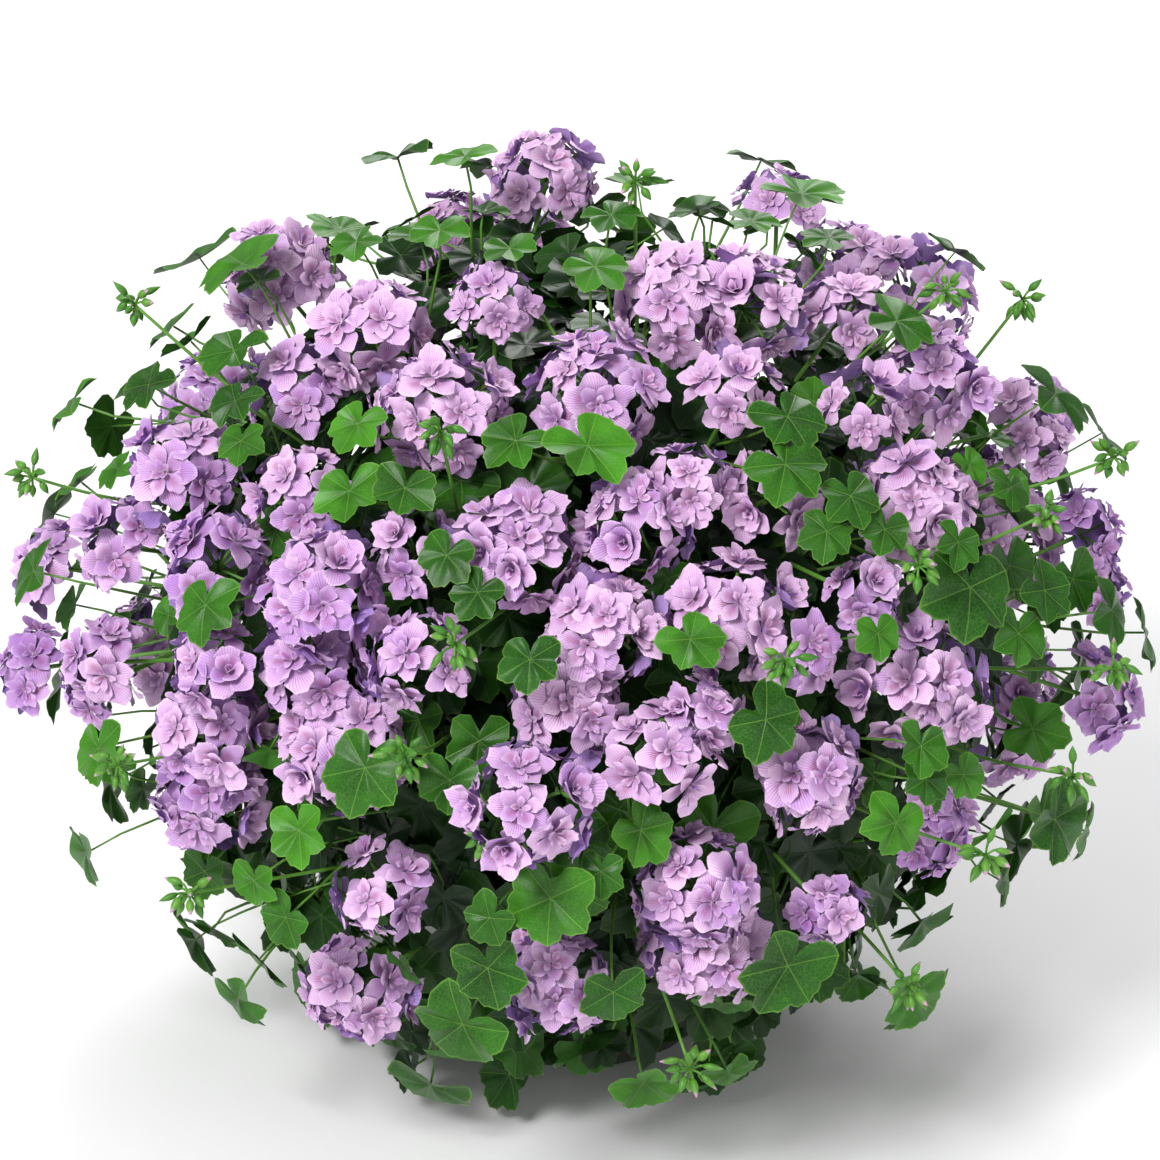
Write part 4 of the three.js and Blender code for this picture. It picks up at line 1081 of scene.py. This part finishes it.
def pot_material():
    """Moulded plastic with a fine grain and a little dust."""
    look = bpy.context.scene.plant_pot
    made, n, shader = new_material("pot_plastic", roughness=0.5)
    z = n.split(n.object_place())[2]
    dust = n.times(n.noise(30.0, 4.0), n.step(z, 0.12, 0.0, 0.1, 0.5))
    colour = n.mix(dust, look.colour, (0.16, 0.14, 0.11))
    colour, height = mottled(n, colour, scale=220.0, amount=0.25)[:2]
    n.feed(shader.inputs["Roughness"], n.step(height, 0.3, 0.7, 0.42, 0.6))
    finish_material(n, shader, colour, height, strength=0.2, distance=0.3 * MM)
    return made


def compost_material():
    """Dark peat with paler lumps."""
    made, n, shader = new_material("potting_compost", roughness=0.95)
    tone = n.tone()[0]
    lumps = n.noise(140.0, 6.0, 0.7)
    colour = n.mix(n.step(lumps, 0.35, 0.7), (0.012, 0.007, 0.004), (0.07, 0.04, 0.02))
    colour = n.mix(n.times(tone, 0.5), colour, (0.12, 0.07, 0.035))
    colour = mottled(n, colour, scale=90.0, amount=0.5)[0]
    finish_material(n, shader, colour, lumps, strength=0.9, distance=3 * MM)
    return made


MAKERS = {
    "petals": petal_material,
    "leaves": leaf_material,
    "stalks": stalk_material,
    "buds": bud_material,
    "pot": pot_material,
    "compost": compost_material,
}


@lru_cache(maxsize=None)
def material(name):
    """The material of a name, made when it is first asked for."""
    return MAKERS[name]()


# Stage

def build_stage():
    """A pale floor, soft light and the camera at the front view."""
    stage = bpy.context.scene.plant_stage
    scene = bpy.context.scene
    scene.view_settings.view_transform = "Standard"
    batch = Batch()
    size = stage.floor_size
    corners = np.array([[-size, -size, 0], [size, -size, 0], [size, size, 0], [-size, size, 0]], float)
    batch.add(corners, np.array([[0, 1, 2, 3]]), np.zeros((4, 2)), (0, 0, 0))
    made, n, shader = new_material("floor", roughness=0.9, gloss=0.1)
    colour = mottled(n, stage.floor_colour, scale=3.0, amount=0.02)[0]
    n.feed(shader.inputs["Base Color"], colour)
    floor = batch.make("floor", [made])
    world = bpy.data.worlds.new("studio")
    scene.world = world
    world.use_nodes = True
    n = Nodes(world.node_tree)
    behind = n.add("LightPath").outputs["Is Camera Ray"]
    strength = n.plus(stage.sky, n.times(behind, 1.0 - stage.sky))
    background = world.node_tree.nodes["Background"]
    n.feed(background.inputs["Color"], (1, 1, 1))
    n.feed(background.inputs["Strength"], strength)
    for name, place, width in LAMPS:
        lamp = bpy.data.lights.new(name, "AREA")
        lamp.size = width
        lamp.energy = getattr(stage, name)
        light = bpy.data.objects.new(name, lamp)
        light.location = place
        way = AIM - np.array(place)
        light.rotation_mode = "QUATERNION"
        light.rotation_quaternion = to_camera_turn(way)
        scene.collection.objects.link(light)
    camera = bpy.data.objects.new("camera", bpy.data.cameras.new("camera"))
    back = np.array([0, -math.cos(VIEW_ELEVATION), math.sin(VIEW_ELEVATION)])
    camera.location = AIM + back * VIEW_DISTANCE
    camera.rotation_mode = "QUATERNION"
    camera.rotation_quaternion = to_camera_turn(-back)
    camera.data.sensor_width = SENSOR
    camera.data.lens = SENSOR * VIEW_DISTANCE / (PICTURE_WIDTH * PIXEL)
    camera.data.clip_end = 100
    scene.collection.objects.link(camera)
    scene.camera = camera


def to_camera_turn(way):
    """The turn that points an object's own -Z along a direction, with its +Y up."""
    return Vector(way).to_track_quat("-Z", "Y")


# Settings

def colour_property(name, description, value):
    """A colour that the panel shows."""
    return bpy.props.FloatVectorProperty(
        name=name, description=description, default=value, size=3, min=0, max=1, subtype="COLOR"
    )


def count_property(name, description, value):
    """How many places are tried for one kind of leaf."""
    return bpy.props.IntProperty(name=name, description=description, default=value, min=0)


def power_property(name, description, value):
    """The power of a lamp."""
    return bpy.props.FloatProperty(name=name, description=description, default=value, unit="POWER")


class PlantFlowers(bpy.types.PropertyGroup):
    floret_radius: bpy.props.FloatProperty(
        name="Floret radius", description="Length of an outer petal", default=0.02, unit="LENGTH"
    )
    pale: colour_property("Pale", "Petals of the palest heads", (0.8, 0.53, 0.79))
    # The deep colour also serves as painted shade on heads at the sides and low down.
    deep: colour_property("Deep", "Petals of the most violet heads", (0.44, 0.22, 0.6))
    rim: colour_property("Rim", "Lower half of a petal", (0.45, 0.19, 0.52))
    # The heart colour is also the painted highlight along a petal's edge.
    heart: colour_property("Heart", "Foot and edge of a petal", (0.92, 0.74, 0.9))
    vein: colour_property("Vein", "Veins of a petal", (0.3, 0.09, 0.38))
    streak: colour_property("Streak", "Streaks near the heart", (0.3, 0.01, 0.1))
    back: colour_property("Back", "Underside of a petal", (0.3, 0.2, 0.6))


class PlantLeaves(bpy.types.PropertyGroup):
    close_count: count_property("Close leaves", "Places tried for leaves over the tangle", 620)
    heart_count: count_property("Heart leaves", "Places tried for leaves inside the tangle", 150)
    outer_count: count_property("Outer leaves", "Places tried for leaves among the flowers", 420)
    skirt_count: count_property("Skirt leaves", "Places tried for leaves round the pot", 90)
    fresh: colour_property("Fresh", "Young leaves", (0.055, 0.25, 0.01))
    mature: colour_property("Mature", "Older leaves", (0.013, 0.085, 0.006))
    # Painted shade: the colour that leaves inside the mound are darkened towards.
    painted_shade: colour_property("Dark", "Leaves inside the mound", (0.0015, 0.012, 0.0025))
    vein: colour_property("Vein", "Veins and edge of a leaf", (0.2, 0.42, 0.06))
    back: colour_property("Back", "Underside of a leaf", (0.06, 0.19, 0.035))


class PlantStems(bpy.types.PropertyGroup):
    young: colour_property("Young", "Flower stalks and leaf stalks", (0.11, 0.3, 0.03))
    old: colour_property("Old", "Older green stems", (0.03, 0.11, 0.015))
    bark: colour_property("Bark", "Woody stems", (0.08, 0.05, 0.025))


class PlantPot(bpy.types.PropertyGroup):
    colour: colour_property("Colour", "Plastic of the pot", (0.028, 0.042, 0.034))


class PlantStage(bpy.types.PropertyGroup):
    floor_size: bpy.props.FloatProperty(
        name="Floor", description="Half the width of the floor", default=12.0, unit="LENGTH"
    )
    floor_colour: colour_property("Floor colour", "Colour of the floor", (0.96, 0.96, 0.96))
    sky: bpy.props.FloatProperty(name="Sky", description="Strength of the even light", default=0.4, min=0)
    key: power_property("Key light", "Front left light", 105.0)
    fill: power_property("Fill light", "Front right light", 16.0)
    rear: power_property("Rear light", "Light from behind", 60.0)


class PLANT_OT_flower_heads(bpy.types.Operator):
    """Builds every flower head from its solid"""

    bl_idname = "plant.flower_heads"
    bl_label = "Flower heads"

    def execute(self, context):
        rng = np.random.default_rng(3)
        groups = plant()["heads"]
        everyone = [h for group in groups.values() for h in group]
        for name, heads in groups.items():
            build_head(name, heads, everyone, rng, context.scene.plant_flowers)
        return {"FINISHED"}


class PLANT_OT_leaves(bpy.types.Operator):
    """Builds the leaf blades"""

    bl_idname = "plant.leaves"
    bl_label = "Leaves"

    def execute(self, context):
        build_leaves()
        return {"FINISHED"}


class PLANT_OT_stems(bpy.types.Operator):
    """Builds the stems, leaf stalks and flower stalks"""

    bl_idname = "plant.stems"
    bl_label = "Stems and stalks"

    def execute(self, context):
        build_stems()
        return {"FINISHED"}


class PLANT_OT_buds(bpy.types.Operator):
    """Builds the clusters of green buds"""

    bl_idname = "plant.buds"
    bl_label = "Bud clusters"

    def execute(self, context):
        build_buds()
        return {"FINISHED"}


class PLANT_OT_pot(bpy.types.Operator):
    """Finishes the pot"""

    bl_idname = "plant.pot"
    bl_label = "Pot"

    def execute(self, context):
        finish_solid("pot")
        return {"FINISHED"}


class PLANT_OT_compost(bpy.types.Operator):
    """Finishes the compost and strews crumbs on it"""

    bl_idname = "plant.compost"
    bl_label = "Compost"

    def execute(self, context):
        finish_solid("compost")
        build_crumbs()
        return {"FINISHED"}


class PLANT_OT_stage(bpy.types.Operator):
    """Sets up the floor, the light and the camera"""

    bl_idname = "plant.stage"
    bl_label = "Stage"

    def execute(self, context):
        build_stage()
        return {"FINISHED"}


class PLANT_PT_panel(bpy.types.Panel):
    """Lists the steps and their settings"""

    bl_label = "Pelargonium"
    bl_idname = "PLANT_PT_panel"
    bl_space_type = "VIEW_3D"
    bl_region_type = "UI"
    bl_category = "Plant"

    def draw(self, context):
        for operator in OPERATORS:
            self.layout.operator(operator.bl_idname)
        for name, group in SETTINGS.items():
            for key in group.__annotations__:
                self.layout.prop(getattr(context.scene, name), key)


OPERATORS = [
    PLANT_OT_stage,
    PLANT_OT_pot,
    PLANT_OT_compost,
    PLANT_OT_stems,
    PLANT_OT_leaves,
    PLANT_OT_buds,
    PLANT_OT_flower_heads,
]
SETTINGS = {
    "plant_flowers": PlantFlowers,
    "plant_leaves": PlantLeaves,
    "plant_stems": PlantStems,
    "plant_pot": PlantPot,
    "plant_stage": PlantStage,
}


def register():
    for name, group in SETTINGS.items():
        bpy.utils.register_class(group)
        setattr(bpy.types.Scene, name, bpy.props.PointerProperty(type=group))
    for operator in OPERATORS:
        bpy.utils.register_class(operator)
    bpy.utils.register_class(PLANT_PT_panel)


def unregister():
    bpy.utils.unregister_class(PLANT_PT_panel)
    for operator in reversed(OPERATORS):
        bpy.utils.unregister_class(operator)
    for name, group in SETTINGS.items():
        delattr(bpy.types.Scene, name)
        bpy.utils.unregister_class(group)


def main():
    register()
    bpy.ops.plant.stage()
    bpy.ops.plant.pot()
    bpy.ops.plant.compost()
    bpy.ops.plant.stems()
    bpy.ops.plant.leaves()
    bpy.ops.plant.buds()
    bpy.ops.plant.flower_heads()


if __name__ == "__main__":
    main()
